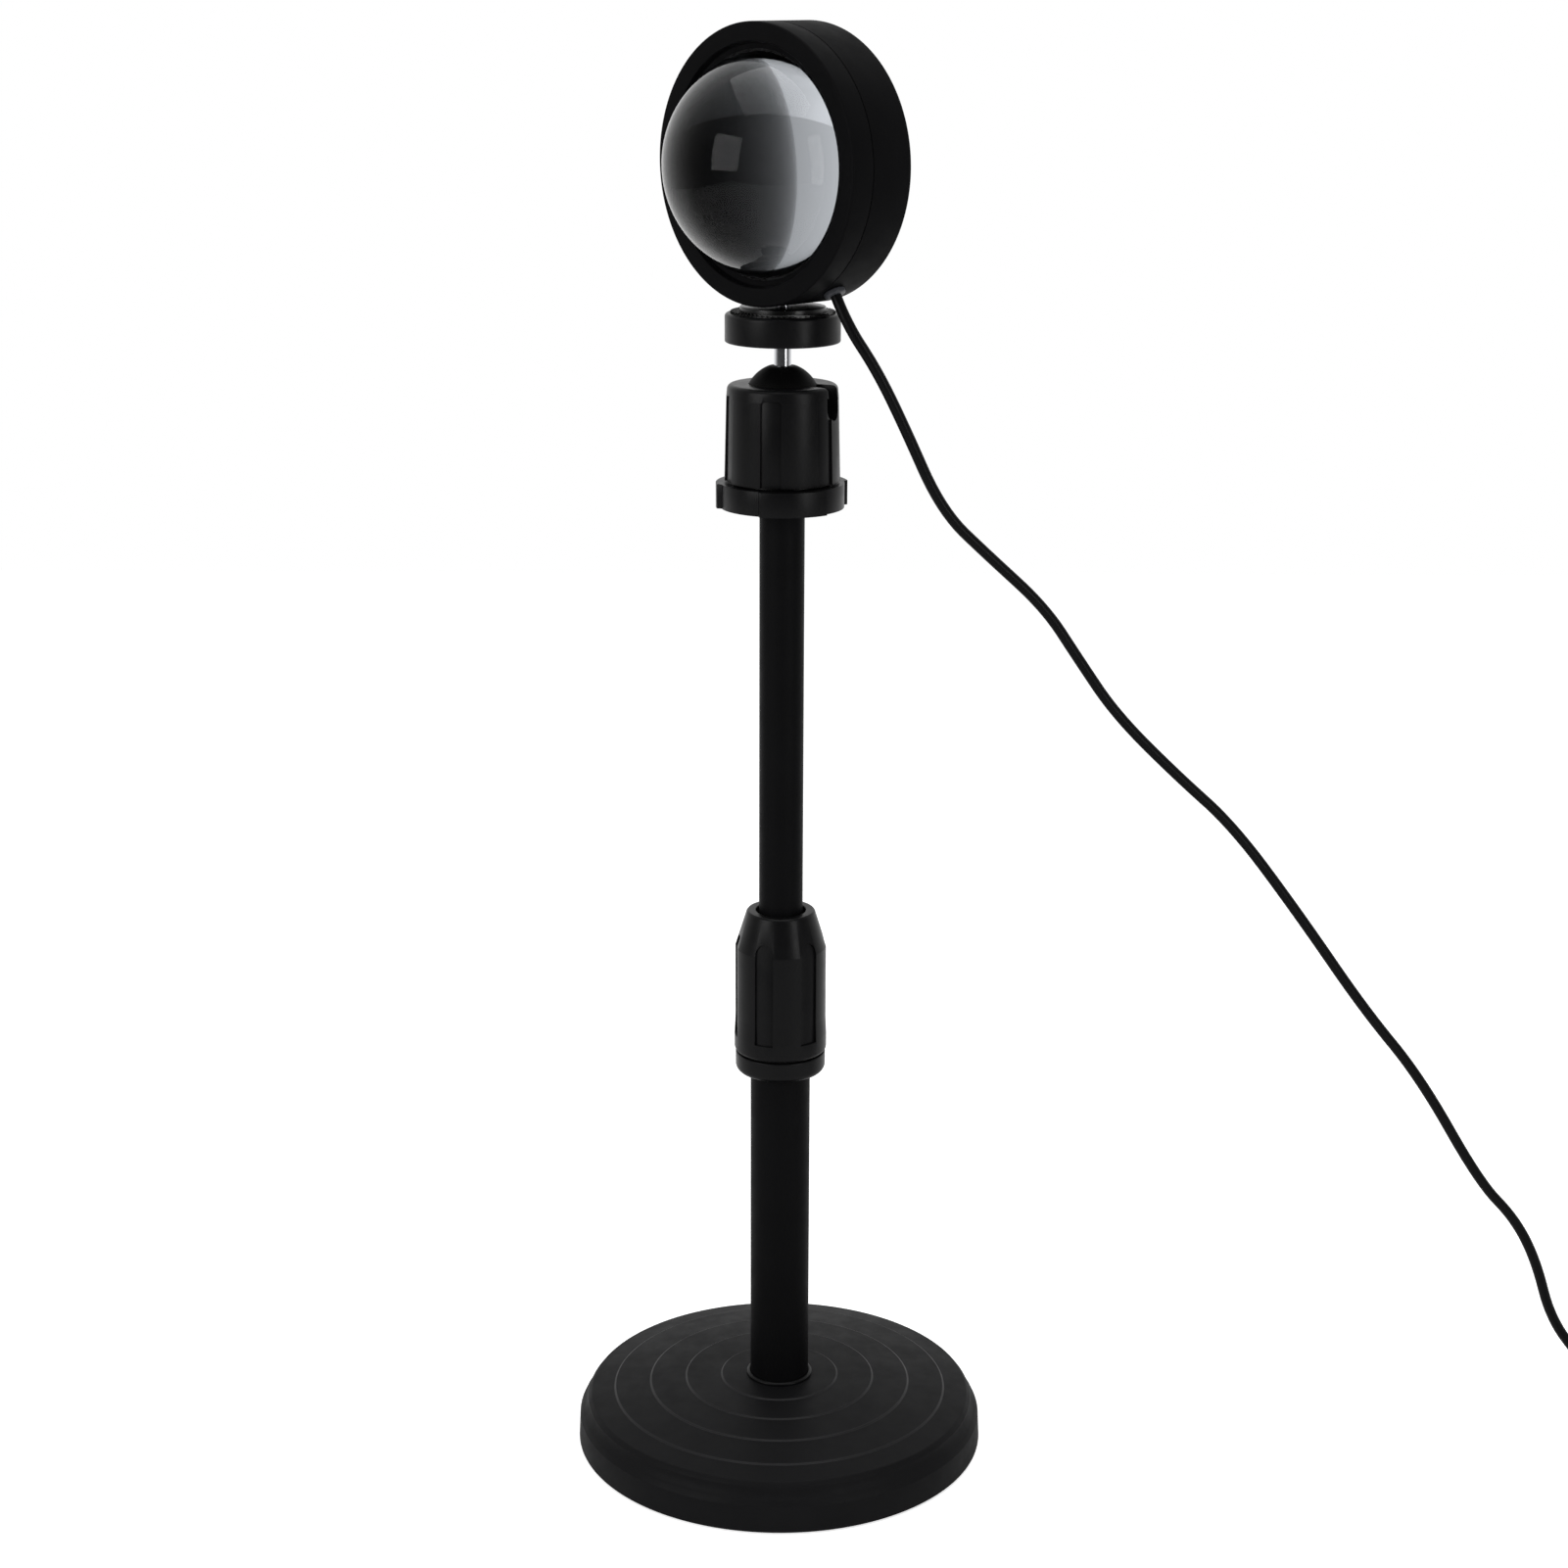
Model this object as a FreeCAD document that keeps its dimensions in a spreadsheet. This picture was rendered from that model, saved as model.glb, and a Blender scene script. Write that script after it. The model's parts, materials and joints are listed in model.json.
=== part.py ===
import FreeCAD, Part

import math
import os
import re

import Sketcher

# A sunset projection lamp: a round black head with a deep glass lens, on a ball joint, a telescopic
# pole and a weighted round base, with a thin lead that ends in a small power plug.
# The origin is the centre of the base on the surface that it stands on. +Z is up, and -Y is the front.
# All lengths are millimetres, and all angles are degrees.

SIZES = {
    # clearances
    "fit_gap": 0.15,
    "running_gap": 0.08,
    "seam_gap": 0.25,
    # base
    "base_radius": 76.0,
    "base_top": 25.0,
    "cover_wall": 2.0,
    "cover_lift": 0.8,
    "rim_inset": 0.5,
    "rim_drop": 14.1,
    "cove_width": 3.2,
    "cove_round": 7.0,
    "edge_drop": 7.4,
    "shoulder_inset": 1.3,
    "shoulder_drop": 6.3,
    "shoulder_round": 1.5,
    "ring_inset": 9.0,
    "ring_spacing": 13.5,
    "ring_one_spacing": 13.4,
    "ring_one_drop": 0.1,
    "ring_two_drop": 0.8,
    "ring_three_drop": 2.2,
    "ring_four_drop": 4.3,
    "ring_step": 0.45,
    "pad_thickness": 1.5,
    "pad_inset": 1.2,
    "plate_thickness": 1.6,
    "weight_gap": 4.0,
    "weight_side": 6.0,
    "weight_slope_inset": 4.0,
    "weight_cover_gap": 2.75,
    "weight_hub_wall": 8.0,
    "bolt_radius": 3.0,
    "bolt_head_radius": 5.2,
    "bolt_head_height": 3.6,
    "bolt_recess_width": 1.5,
    "bolt_recess_clearance": 0.6,
    "washer_radius": 7.5,
    "washer_thickness": 1.2,
    "plate_screw_circle": 45.0,
    "plate_screw_radius": 1.5,
    "plate_screw_head_radius": 2.8,
    "plate_screw_length": 8.0,
    # pole
    "upper_tube_radius": 7.9,
    "upper_tube_wall": 1.0,
    "upper_tube_length": 222.0,
    "tube_overlap": 20.0,
    "bush_wall": 1.72,
    "bush_height": 18.0,
    "bush_lip": 2.0,
    "lower_tube_wall": 1.2,
    "lower_tube_length": 135.0,
    "tube_socket_depth": 4.5,
    "foot_ring_width": 1.4,
    "foot_ring_height": 1.3,
    "tube_plug_height": 11.0,
    "bolt_end_inset": 2.0,
    # twist lock
    "collet_overlap": 11.7,
    "collet_ring_height": 7.7,
    "collet_wall": 2.3,
    "collet_flange": 3.2,
    "collet_round": 4.0,
    "thread_length": 29.4,
    "finger_wall": 2.42,
    "slit_width": 1.6,
    "slit_depth": 28.5,
    "nut_gap": 0.6,
    "nut_wall": 3.22,
    "nut_flare": 0.3,
    "nut_flare_height": 6.4,
    "nut_straight": 39.6,
    "nut_cone_height": 13.7,
    "nut_mouth_gap": 1.2,
    "nut_lip_width": 3.2,
    "nut_lip": 4.6,
    "nut_cone_gap": 0.4,
    "nut_panel_depth": 0.7,
    "nut_panel_width": 7.0,
    "nut_panel_foot": 6.0,
    "nut_panel_head": 9.1,
    "nut_panel_turn": -21.6,
    # ball joint
    "flange_thickness": 8.5,
    "flange_step": 1.5,
    "lug_reach": 1.5,
    "lug_half_width": 11.8,
    "lug_turn": -79.0,
    "neck_wall": 3.52,
    "neck_height": 23.0,
    "ball_rise": 5.0,
    "ball_radius": 13.2,
    "ball_flat": 12.3,
    "sleeve_gap": 0.9,
    "sleeve_wall": 3.22,
    "sleeve_taper": 0.7,
    "sleeve_rise": 6.2,
    "sleeve_shoulder_height": 4.3,
    "sleeve_shoulder_width": 3.8,
    "sleeve_round": 4.6,
    "sleeve_panel_depth": 0.6,
    "sleeve_panel_width": 7.3,
    "sleeve_panel_head": 3.6,
    "sleeve_panel_turn": -77.7,
    "slot_gap": 0.9,
    "slot_depth": 11.6,
    "slot_turn": 66.0,
    "joining_screw_radius": 3.15,
    "joining_screw_head_radius": 5.2,
    "joining_screw_head_height": 4.0,
    "joining_screw_reach": 14.0,
    "tube_top_plug_height": 16.0,
    "stem_radius": 3.0,
    "stem_depth": 10.0,
    "stem_length": 20.5,
    "stud_radius": 3.1,
    "stud_reach": 7.3,
    "stud_chamfer": 0.58,
    "disc_thickness": 9.9,
    "disc_radius": 19.9,
    "disc_round": 1.2,
    "grip_radius": 15.0,
    "grip_thickness": 2.3,
    "grip_edge": 0.45,
    # head: depths are measured forwards from the flat back
    "head_margin": 8.85,
    "head_rest_gap": 0.6,
    "head_turn_angle": -45.5,
    "stud_setback": 4.7,
    "can_wall": 2.3,
    "can_floor": 3.0,
    "can_edge": 0.8,
    "seam_depth": 18.1,
    "bezel_depth": 9.5,
    "face_edge": 0.7,
    "face_bevel": 0.6,
    "face_recess": 2.3,
    "ledge_width": 1.9,
    "ledge_slope": 0.4,
    "lip_thickness": 0.2,
    "spigot_length": 4.3,
    "spigot_wall": 2.3,
    "lens_radius": 37.9,
    "lens_set": 4.0,
    "lens_edge": 3.2,
    "lens_rim": 0.5,
    "lip_overlap": 0.5,
    "gasket_thickness": 0.7,
    "gasket_width": 4.4,
    "retainer_thickness": 1.6,
    "retainer_width": 2.9,
    "baffle_inset": 4.1,
    "baffle_wall": 1.3,
    "baffle_flange": 0.9,
    "heat_plate_margin": 11.0,
    "heat_plate_thickness": 2.0,
    "board_margin": 2.2,
    "board_thickness": 1.6,
    "emitter_side": 6.0,
    "emitter_thickness": 1.2,
    "holder_outer_radius": 14.0,
    "holder_width": 4.4,
    "holder_height": 3.0,
    "film_margin": 1.0,
    "film_thickness": 0.3,
    "screw_gap": 0.8,
    "board_screw_radius": 1.2,
    "board_screw_head_radius": 2.0,
    "board_screw_head_height": 1.4,
    "boss_width": 15.0,
    "boss_back": 7.4,
    "boss_depth": 9.5,
    "insert_wall": 0.82,
    "insert_inset": 0.7,
    # lead
    "gland_setback": 1.0,
    "gland_turn": 30.0,
    "gland_wall": 0.95,
    "gland_lip": 0.8,
    "gland_proud": 1.9,
    "cord_radius": 1.95,
    "cord_end_gap": 0.03,
    "coil_gap": 0.6,
    "coil_inner_radius": 16.0,
    "tie_gap": 0.1,
    "tie_width": 8.0,
    "tie_thickness": 0.6,
    "plug_width": 15.6,
    "plug_thickness": 8.0,
    "plug_length": 24.0,
    "plug_relief_length": 9.0,
    "plug_relief_radius": 3.2,
    "shell_width": 12.0,
    "shell_thickness": 4.5,
    "shell_length": 12.2,
    "shell_wall": 0.35,
    "tongue_gap": 0.35,
    "tongue_thickness": 1.8,
}

# Sizes and levels that follow from the ones above.
FORMULAS = {
    "rim_radius": "base_radius - rim_inset",
    "edge_radius": "rim_radius - cove_width",
    "shoulder_radius": "edge_radius - shoulder_inset",
    "ring_four_radius": "shoulder_radius - ring_inset",
    "ring_three_radius": "ring_four_radius - ring_spacing",
    "ring_two_radius": "ring_three_radius - ring_spacing",
    "ring_one_radius": "ring_two_radius - ring_one_spacing",
    "rim_level": "base_top - rim_drop",
    "edge_level": "base_top - edge_drop",
    "shoulder_level": "base_top - shoulder_drop",
    "ring_one_level": "base_top - ring_one_drop",
    "ring_two_level": "base_top - ring_two_drop",
    "ring_three_level": "base_top - ring_three_drop",
    "ring_four_level": "base_top - ring_four_drop",
    "plate_top": "pad_thickness + plate_thickness",
    "cover_bore": "base_radius - cover_wall",
    "weight_radius": "cover_bore - weight_gap",
    "weight_side_top": "plate_top + weight_side",
    "weight_slope_radius": "ring_four_radius - weight_slope_inset",
    "weight_shoulder": "ring_four_level - ring_step - cover_wall - weight_cover_gap",
    "bolt_recess_radius": "washer_radius + bolt_recess_width",
    "bolt_recess_depth": "bolt_recess_clearance + bolt_head_height + washer_thickness",
    "bolt_recess_top": "plate_top + bolt_recess_depth",
    "weight_hub_radius": "bolt_recess_radius + weight_hub_wall",
    "lower_tube_bore": "upper_tube_radius + running_gap + bush_wall",
    "lower_tube_radius": "lower_tube_bore + lower_tube_wall",
    "lower_tube_top": "base_top + lower_tube_length",
    "upper_tube_bottom": "lower_tube_top - tube_overlap",
    "upper_tube_top": "upper_tube_bottom + upper_tube_length",
    "collet_bottom": "lower_tube_top - collet_overlap",
    "collet_ring_top": "collet_bottom + collet_ring_height",
    "thread_radius": "lower_tube_radius + collet_wall",
    "collet_ring_radius": "thread_radius + collet_flange",
    "nut_bottom": "collet_ring_top + nut_gap",
    "thread_top": "nut_bottom + thread_length",
    "nut_radius": "thread_radius + running_gap + nut_wall",
    "nut_flare_radius": "nut_radius + nut_flare",
    "nut_flare_level": "nut_bottom + nut_flare_height",
    "nut_shoulder": "nut_bottom + nut_straight",
    "nut_top": "nut_shoulder + nut_cone_height",
    "nut_mouth_radius": "upper_tube_radius + nut_mouth_gap",
    "nut_top_radius": "nut_mouth_radius + nut_lip_width",
    "nut_under_lip": "nut_top - nut_lip",
    "finger_top": "nut_under_lip - nut_cone_gap * 2",
    "finger_tip_radius": "upper_tube_radius + running_gap + finger_wall",
    "slit_bottom": "finger_top - slit_depth",
    "nut_panel_bottom": "nut_bottom + nut_panel_foot",
    "nut_panel_top": "nut_top - nut_panel_head",
    "flange_bottom": "upper_tube_top - tube_socket_depth",
    "flange_top": "flange_bottom + flange_thickness",
    "cup_radius": "ball_radius + running_gap",
    "neck_radius": "cup_radius + neck_wall",
    "neck_bore": "neck_radius + running_gap",
    "neck_top": "flange_top + neck_height",
    "ball_level": "neck_top + ball_rise",
    "sleeve_bottom": "flange_top + sleeve_gap",
    "sleeve_bottom_radius": "neck_bore + sleeve_wall",
    "sleeve_radius": "sleeve_bottom_radius - sleeve_taper",
    "sleeve_top_radius": "sleeve_radius - sleeve_shoulder_width",
    "sleeve_top": "ball_level + sleeve_rise",
    "sleeve_shoulder": "sleeve_top - sleeve_shoulder_height",
    "sleeve_panel_top": "sleeve_top - sleeve_panel_head",
    "flange_radius": "sleeve_bottom_radius + flange_step",
    "lug_radius": "flange_radius + lug_reach",
    "slot_width": "(stem_radius + slot_gap) * 2",
    "slot_bottom": "sleeve_top - slot_depth",
    "joining_screw_end": "upper_tube_top + joining_screw_reach",
    "stem_bottom": "ball_level - stem_depth",
    "disc_bottom": "ball_level + stem_length",
    "disc_top": "disc_bottom + disc_thickness",
    "grip_top": "disc_top + grip_thickness",
    "stud_top": "grip_top + stud_reach",
    "head_radius": "lens_radius + head_margin",
    "head_foot": "grip_top + head_rest_gap",
    "head_level": "head_foot + head_radius",
    "head_back": "seam_depth - stud_setback",
    "can_bore": "head_radius - can_wall",
    "spigot_radius": "can_bore - fit_gap",
    "spigot_bore": "can_bore - spigot_wall",
    "spigot_depth": "seam_depth - spigot_length",
    "can_front": "seam_depth - seam_gap / 2",
    "bezel_back": "seam_depth + seam_gap / 2",
    "head_depth": "seam_depth + bezel_depth",
    "ledge_depth": "head_depth - face_recess",
    "lip_depth": "ledge_depth - ledge_slope",
    "lens_seat_depth": "lip_depth - lip_thickness",
    "lens_back_depth": "lens_seat_depth - lens_edge",
    "lens_centre_depth": "lens_back_depth - lens_set",
    "lens_rim_radius": "lens_radius + lens_rim",
    "lip_radius": "lens_rim_radius - lip_overlap",
    "gasket_bore": "lens_rim_radius - gasket_width",
    "retainer_bore": "lens_radius - retainer_width",
    "ledge_radius": "lens_radius + ledge_width",
    "face_bore_radius": "ledge_radius + face_bevel",
    "gasket_back": "lens_back_depth - gasket_thickness",
    "retainer_back": "gasket_back - retainer_thickness",
    "ring_radius": "spigot_bore - fit_gap",
    "board_back": "can_floor + heat_plate_thickness",
    "board_front": "board_back + board_thickness",
    "film_back": "board_front + holder_height",
    "baffle_back": "film_back + film_thickness",
    "holder_inner_radius": "holder_outer_radius - holder_width",
    "baffle_back_radius": "holder_inner_radius - fit_gap * 4",
    "baffle_front_radius": "lens_radius - baffle_inset",
    "film_radius": "holder_outer_radius - film_margin",
    "board_screw_circle": "holder_outer_radius + screw_gap + board_screw_head_radius",
    "board_radius": "board_screw_circle + board_margin",
    "heat_plate_radius": "board_radius + heat_plate_margin",
    "boss_back_depth": "head_back - boss_back",
    "insert_bore": "stud_radius + running_gap",
    "insert_radius": "insert_bore + insert_wall",
    "gland_barrel_radius": "cord_radius + gland_wall",
    "gland_radius": "gland_barrel_radius + gland_lip",
    "coil_pitch": "cord_radius * 2 + coil_gap",
    "coil_lift": "tie_thickness + tie_gap",
    "tongue_width": "shell_width - shell_wall * 2 - tongue_gap * 2",
}

# Counts and places that are not lengths of one piece.
SLITS = 4
PANELS = 6
LUGS = 3
PLATE_SCREWS = 3
BOARD_SCREWS = 2
COIL_QUARTERS_IN = 12
COIL_QUARTERS_OUT = 13
COIL_CENTRE = (349.0, -22.0)
# Two ends of a sketch closer than this are one place.
SAME_PLACE = 1e-4
# A half-round end is drawn this share wider than half its width, so that its arc has a side to bulge to.
HALF_ROUND = 1.0001

# The free lead leaves the gland straight, for this far. Its other points are chosen by hand, and it ends
# where the coil begins.
FIRST_RUN = 10.4
LEAD_ROUTE = [
    (31.5, -21.5, 408.0),
    (41.0, -20.0, 389.0),
    (54.5, -16.0, 359.0),
    (71.5, -13.0, 342.5),
    (91.5, -10.0, 324.0),
    (104.0, -8.0, 305.0),
    (118.0, -6.0, 284.5),
    (141.0, -4.0, 261.5),
    (162.0, -2.0, 242.5),
    (188.0, 0.0, 208.0),
    (214.0, 2.0, 171.0),
    (236.5, 4.0, 144.0),
    (262.0, 6.0, 101.0),
    (275.5, 7.0, 85.0),
    (283.0, 7.5, 64.0),
    (298.0, 8.0, 38.5),
    (305.5, 8.3, 23.0),
    (315.0, 8.4, 10.5),
    (326.0, 8.2, 3.6),
    (336.5, 7.5, 2.65),
]

# The short end of the lead, from the coil to the plug.
TAIL_ROUTE = [
    (379.6, -37.0, 6.3),
    (376.5, -49.0, 5.0),
    (368.5, -59.5, 4.2),
    (355.5, -65.5, 4.0),
]
PLUG_PLACE = (336.0, -66.0)

doc = FreeCAD.newDocument("sunset_lamp")
sheet = doc.addObject("Spreadsheet::Sheet", "Sizes")
for line, (alias, number) in enumerate(SIZES.items(), start=1):
    sheet.set(f"A{line}", alias.replace("_", " "))
    sheet.set(f"B{line}", str(number))
    sheet.setAlias(f"B{line}", alias)
doc.recompute()

nodes = []


def bound(expression):
    """An expression on the sheet's aliases, with the sizes that follow from others written out."""
    def written_out(found):
        word = found.group(0)
        if word in FORMULAS:
            return f"({bound(FORMULAS[word])})"
        return f"Sizes.{word}" if word in SIZES else word

    return re.sub(r"[a-z_]+", written_out, str(expression))


def size(expression):
    """The number that such an expression gives now."""
    return float(sheet.evalExpression(bound(expression)))


def keep(thing):
    """Marks an object as one of the finished pieces."""
    nodes.append(thing)
    return thing


def origin_plane(body, role):
    return next(f for f in body.Origin.OriginFeatures if f.Role == role)


def outline(body, name, plane, corners, arcs=None, shift=None):
    """A closed sketch through corners, each a pair of expressions.

    arcs gives, for the edge that starts at a corner, its radius as an expression and the side on which
    it bulges: 1 bulges to the right of the way along, and -1 to the left.
    """
    arcs = arcs or {}
    sketch = body.newObject("Sketcher::SketchObject", name)
    sketch.AttachmentSupport = [(origin_plane(body, plane), "")]
    sketch.MapMode = "FlatFace"
    if shift:
        sketch.setExpression(".AttachmentOffset.Base.z", bound(shift))
    places = [FreeCAD.Vector(size(x), size(y), 0) for x, y in corners]
    ends = []
    for i, start in enumerate(places):
        end = places[(i + 1) % len(places)]
        if i not in arcs:
            sketch.addGeometry(Part.LineSegment(start, end), False)
            ends.append((1, 2))
            continue
        radius, side = size(arcs[i][0]), arcs[i][1]
        along = end - start
        right = FreeCAD.Vector(along.y, -along.x, 0).normalize()
        middle = (start + end) * 0.5
        depth = math.sqrt(max(radius**2 - (along.Length / 2) ** 2, 0.0))
        top = middle - right * side * depth + right * side * radius
        sketch.addGeometry(Part.Arc(start, top, end), False)
        flipped = sketch.getPoint(i, 1).distanceToPoint(start) > SAME_PLACE
        ends.append((2, 1) if flipped else (1, 2))
    for i in range(len(places)):
        after = (i + 1) % len(places)
        sketch.addConstraint(Sketcher.Constraint("Coincident", i, ends[i][1], after, ends[after][0]))
    for i, (x, y) in enumerate(corners):
        for kind, axis, text, number in (("DistanceX", -2, x, places[i].x), ("DistanceY", -1, y, places[i].y)):
            if str(text) == "0":
                sketch.addConstraint(Sketcher.Constraint("PointOnObject", i, ends[i][0], axis))
                continue
            if number < 0:
                made = Sketcher.Constraint(kind, i, ends[i][0], -1, 1, -number)
                text = f"-({text})"
            else:
                made = Sketcher.Constraint(kind, -1, 1, i, ends[i][0], number)
            index = sketch.addConstraint(made)
            sketch.setExpression(f"Constraints[{index}]", bound(text))
    for i, (radius, _) in arcs.items():
        index = sketch.addConstraint(Sketcher.Constraint("Radius", i, size(radius)))
        sketch.setExpression(f"Constraints[{index}]", bound(radius))
    return sketch


def new_body(name, turn=None):
    """A body, turned about Z by an expression where one is given."""
    body = doc.addObject("PartDesign::Body", name)
    if turn:
        body.Placement = FreeCAD.Placement(
            FreeCAD.Vector(0, 0, 0), FreeCAD.Rotation(FreeCAD.Vector(0, 0, 1), size(turn)))
        body.setExpression("Placement.Rotation.Angle", bound(turn))
    return body


def spin(body, name, corners, arcs=None):
    """Adds a solid turned about Z, from corners given as radius and level."""
    sketch = outline(body, f"{name}_profile", "XZ_Plane", corners, arcs)
    turned = body.newObject("PartDesign::Revolution", f"{name}_turned")
    turned.Profile = sketch
    turned.ReferenceAxis = (sketch, ["V_Axis"])
    turned.Angle = 360
    return turned


def turned_piece(name, corners, arcs=None, turn=None):
    """A whole piece turned about Z."""
    body = new_body(name, turn)
    spin(body, name, corners, arcs)
    return keep(body)


def around(body, feature, name, count):
    """Repeats a feature evenly about Z."""
    pattern = body.newObject("PartDesign::PolarPattern", name)
    pattern.Originals = [feature]
    pattern.Axis = (origin_plane(body, "Z_Axis"), [""])
    pattern.Angle = 360
    pattern.Occurrences = count
    body.Tip = pattern
    return pattern


def cut_forwards(body, name, corners, arcs=None, reach="base_radius", both=False):
    """Cuts an outline on the XZ plane out of the body, towards the front or both ways."""
    before = body.Shape.Volume if body.Tip else 0
    sketch = outline(body, f"{name}_outline", "XZ_Plane", corners, arcs)
    pocket = body.newObject("PartDesign::Pocket", name)
    pocket.Profile = sketch
    pocket.Type = 0
    pocket.Midplane = both
    pocket.setExpression("Length", bound(reach))
    pocket.Reversed = not both
    doc.recompute()
    assert body.Shape.Volume < before - 0.01, f"{name} cuts nothing"
    return pocket


def place_primitive(thing, place, direction=(0, 0, 1)):
    turn = FreeCAD.Rotation(FreeCAD.Vector(0, 0, 1), FreeCAD.Vector(*direction))
    thing.Placement = FreeCAD.Placement(FreeCAD.Vector(*place), turn)
    return thing


def rod(name, radius, height, place, direction=(0, 0, 1)):
    """A plain cylinder from a place, along a direction."""
    made = doc.addObject("Part::Cylinder", name)
    made.setExpression("Radius", bound(radius))
    made.setExpression("Height", bound(height))
    return place_primitive(made, place, direction)


def cut(name, base, tool):
    made = doc.addObject("Part::Cut", name)
    made.Base = base
    made.Tool = tool
    return made


def fuse(name, pieces):
    made = doc.addObject("Part::MultiFuse", name)
    made.Shapes = pieces
    return made


def ring_of(count, radius, start=0.0):
    """Places on a circle about Z."""
    turns = [math.radians(start + 360.0 * i / count) for i in range(count)]
    return [(radius * math.cos(t), radius * math.sin(t)) for t in turns]


# ---------------------------------------------------------------- base


def base_cover():
    """The stamped cover: a low dome with four shallow steps, a concave cove and an upright rim."""
    hole = "bolt_radius + fit_gap"
    rings = ["one", "two", "three", "four"]
    corners = [(hole, "base_top")]
    for ring in rings:
        corners.append((f"ring_{ring}_radius", f"ring_{ring}_level"))
        corners.append((f"ring_{ring}_radius + ring_step", f"ring_{ring}_level - ring_step"))
    corners += [
        ("shoulder_radius", "shoulder_level"),
        ("edge_radius", "edge_level"),
        ("rim_radius - ring_step", "rim_level + ring_step"),
        ("rim_radius", "rim_level"),
        ("base_radius", "cover_lift"),
        ("cover_bore", "cover_lift"),
        ("rim_radius - cover_wall", "rim_level - cover_wall / 2"),
        ("edge_radius - cover_wall", "edge_level - cover_wall"),
        ("ring_four_radius", "ring_four_level - ring_step - cover_wall"),
        ("ring_three_radius", "ring_three_level - ring_step - cover_wall"),
        ("ring_two_radius", "ring_two_level - ring_step - cover_wall"),
        ("weight_hub_radius + fit_gap", "base_top - cover_wall"),
        (hole, "base_top - cover_wall"),
    ]
    shoulder = 1 + 2 * len(rings)
    arcs = {shoulder: ("shoulder_round", -1), shoulder + 1: ("cove_round", 1)}
    turned_piece("base_cover", corners, arcs)


def base_weight():
    """The cast weight under the cover, with a hub for the bolt and a recess for its head."""
    bore = "bolt_radius + fit_gap"
    body = turned_piece("base_weight", [
        (bore, "bolt_recess_top"),
        ("bolt_recess_radius", "bolt_recess_top"),
        ("bolt_recess_radius", "plate_top"),
        ("weight_radius", "plate_top"),
        ("weight_radius", "weight_side_top"),
        ("weight_slope_radius", "weight_shoulder"),
        ("weight_hub_radius", "weight_shoulder"),
        ("weight_hub_radius", "base_top - cover_wall"),
        (bore, "base_top - cover_wall"),
    ])
    drill = body.newObject("PartDesign::SubtractiveCylinder", "weight_screw_hole")
    drill.setExpression("Radius", bound("plate_screw_radius"))
    drill.setExpression("Height", bound("plate_screw_length"))
    drill.Placement.Base = FreeCAD.Vector(size("plate_screw_circle"), 0, size("pad_thickness"))
    around(body, drill, "weight_screw_holes", PLATE_SCREWS)


def base_plate():
    """The flat steel plate that closes the base, with countersunk holes for its screws."""
    body = turned_piece("base_plate", [
        ("bolt_recess_radius", "pad_thickness"),
        ("cover_bore - fit_gap", "pad_thickness"),
        ("cover_bore - fit_gap", "plate_top"),
        ("bolt_recess_radius", "plate_top"),
    ])
    hole = body.newObject("PartDesign::SubtractiveCone", "plate_screw_hole")
    hole.setExpression("Radius1", bound("plate_screw_head_radius"))
    hole.setExpression("Radius2", bound("plate_screw_radius"))
    hole.setExpression("Height", bound("plate_thickness"))
    hole.Placement.Base = FreeCAD.Vector(size("plate_screw_circle"), 0, size("pad_thickness"))
    around(body, hole, "plate_screw_holes", PLATE_SCREWS)


def foot_pad():
    """The soft ring under the plate, on which the lamp stands."""
    turned_piece("foot_pad", [
        ("bolt_recess_radius + pad_inset", 0),
        ("cover_bore - fit_gap", 0),
        ("cover_bore - fit_gap", "pad_thickness"),
        ("bolt_recess_radius + pad_inset", "pad_thickness"),
    ])


def plate_screws():
    """Countersunk screws, as one group: each a cone head on a plain shank."""
    shapes = []
    for i, (x, y) in enumerate(ring_of(PLATE_SCREWS, size("plate_screw_circle"))):
        head = doc.addObject("Part::Cone", f"plate_screw_head_{i}")
        head.setExpression("Radius1", bound("plate_screw_head_radius"))
        head.setExpression("Radius2", bound("plate_screw_radius"))
        head.setExpression("Height", bound("plate_thickness"))
        place_primitive(head, (x, y, size("pad_thickness")))
        shank = rod(f"plate_screw_shank_{i}", "plate_screw_radius", "plate_screw_length",
                    (x, y, size("pad_thickness")))
        shapes.append(fuse(f"plate_screw_{i}", [head, shank]))
    group = doc.addObject("Part::Compound", "plate_screws")
    group.Links = shapes
    keep(group)


def base_bolt():
    """The bolt up through the weight and cover into the plug of the lower tube."""
    under_head = "bolt_recess_top - washer_thickness"
    end = "base_top + tube_plug_height - bolt_end_inset"
    turned_piece("base_bolt", [
        (0, f"{under_head} - bolt_head_height"),
        ("bolt_head_radius", f"{under_head} - bolt_head_height"),
        ("bolt_head_radius", under_head),
        ("bolt_radius", under_head),
        ("bolt_radius", f"{end} - bolt_end_inset / 2"),
        ("bolt_radius - bolt_end_inset / 2", end),
        (0, end),
    ])
    turned_piece("bolt_washer", [
        ("bolt_radius + fit_gap", under_head),
        ("washer_radius", under_head),
        ("washer_radius", "bolt_recess_top"),
        ("bolt_radius + fit_gap", "bolt_recess_top"),
    ])


# ---------------------------------------------------------------- pole


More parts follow.
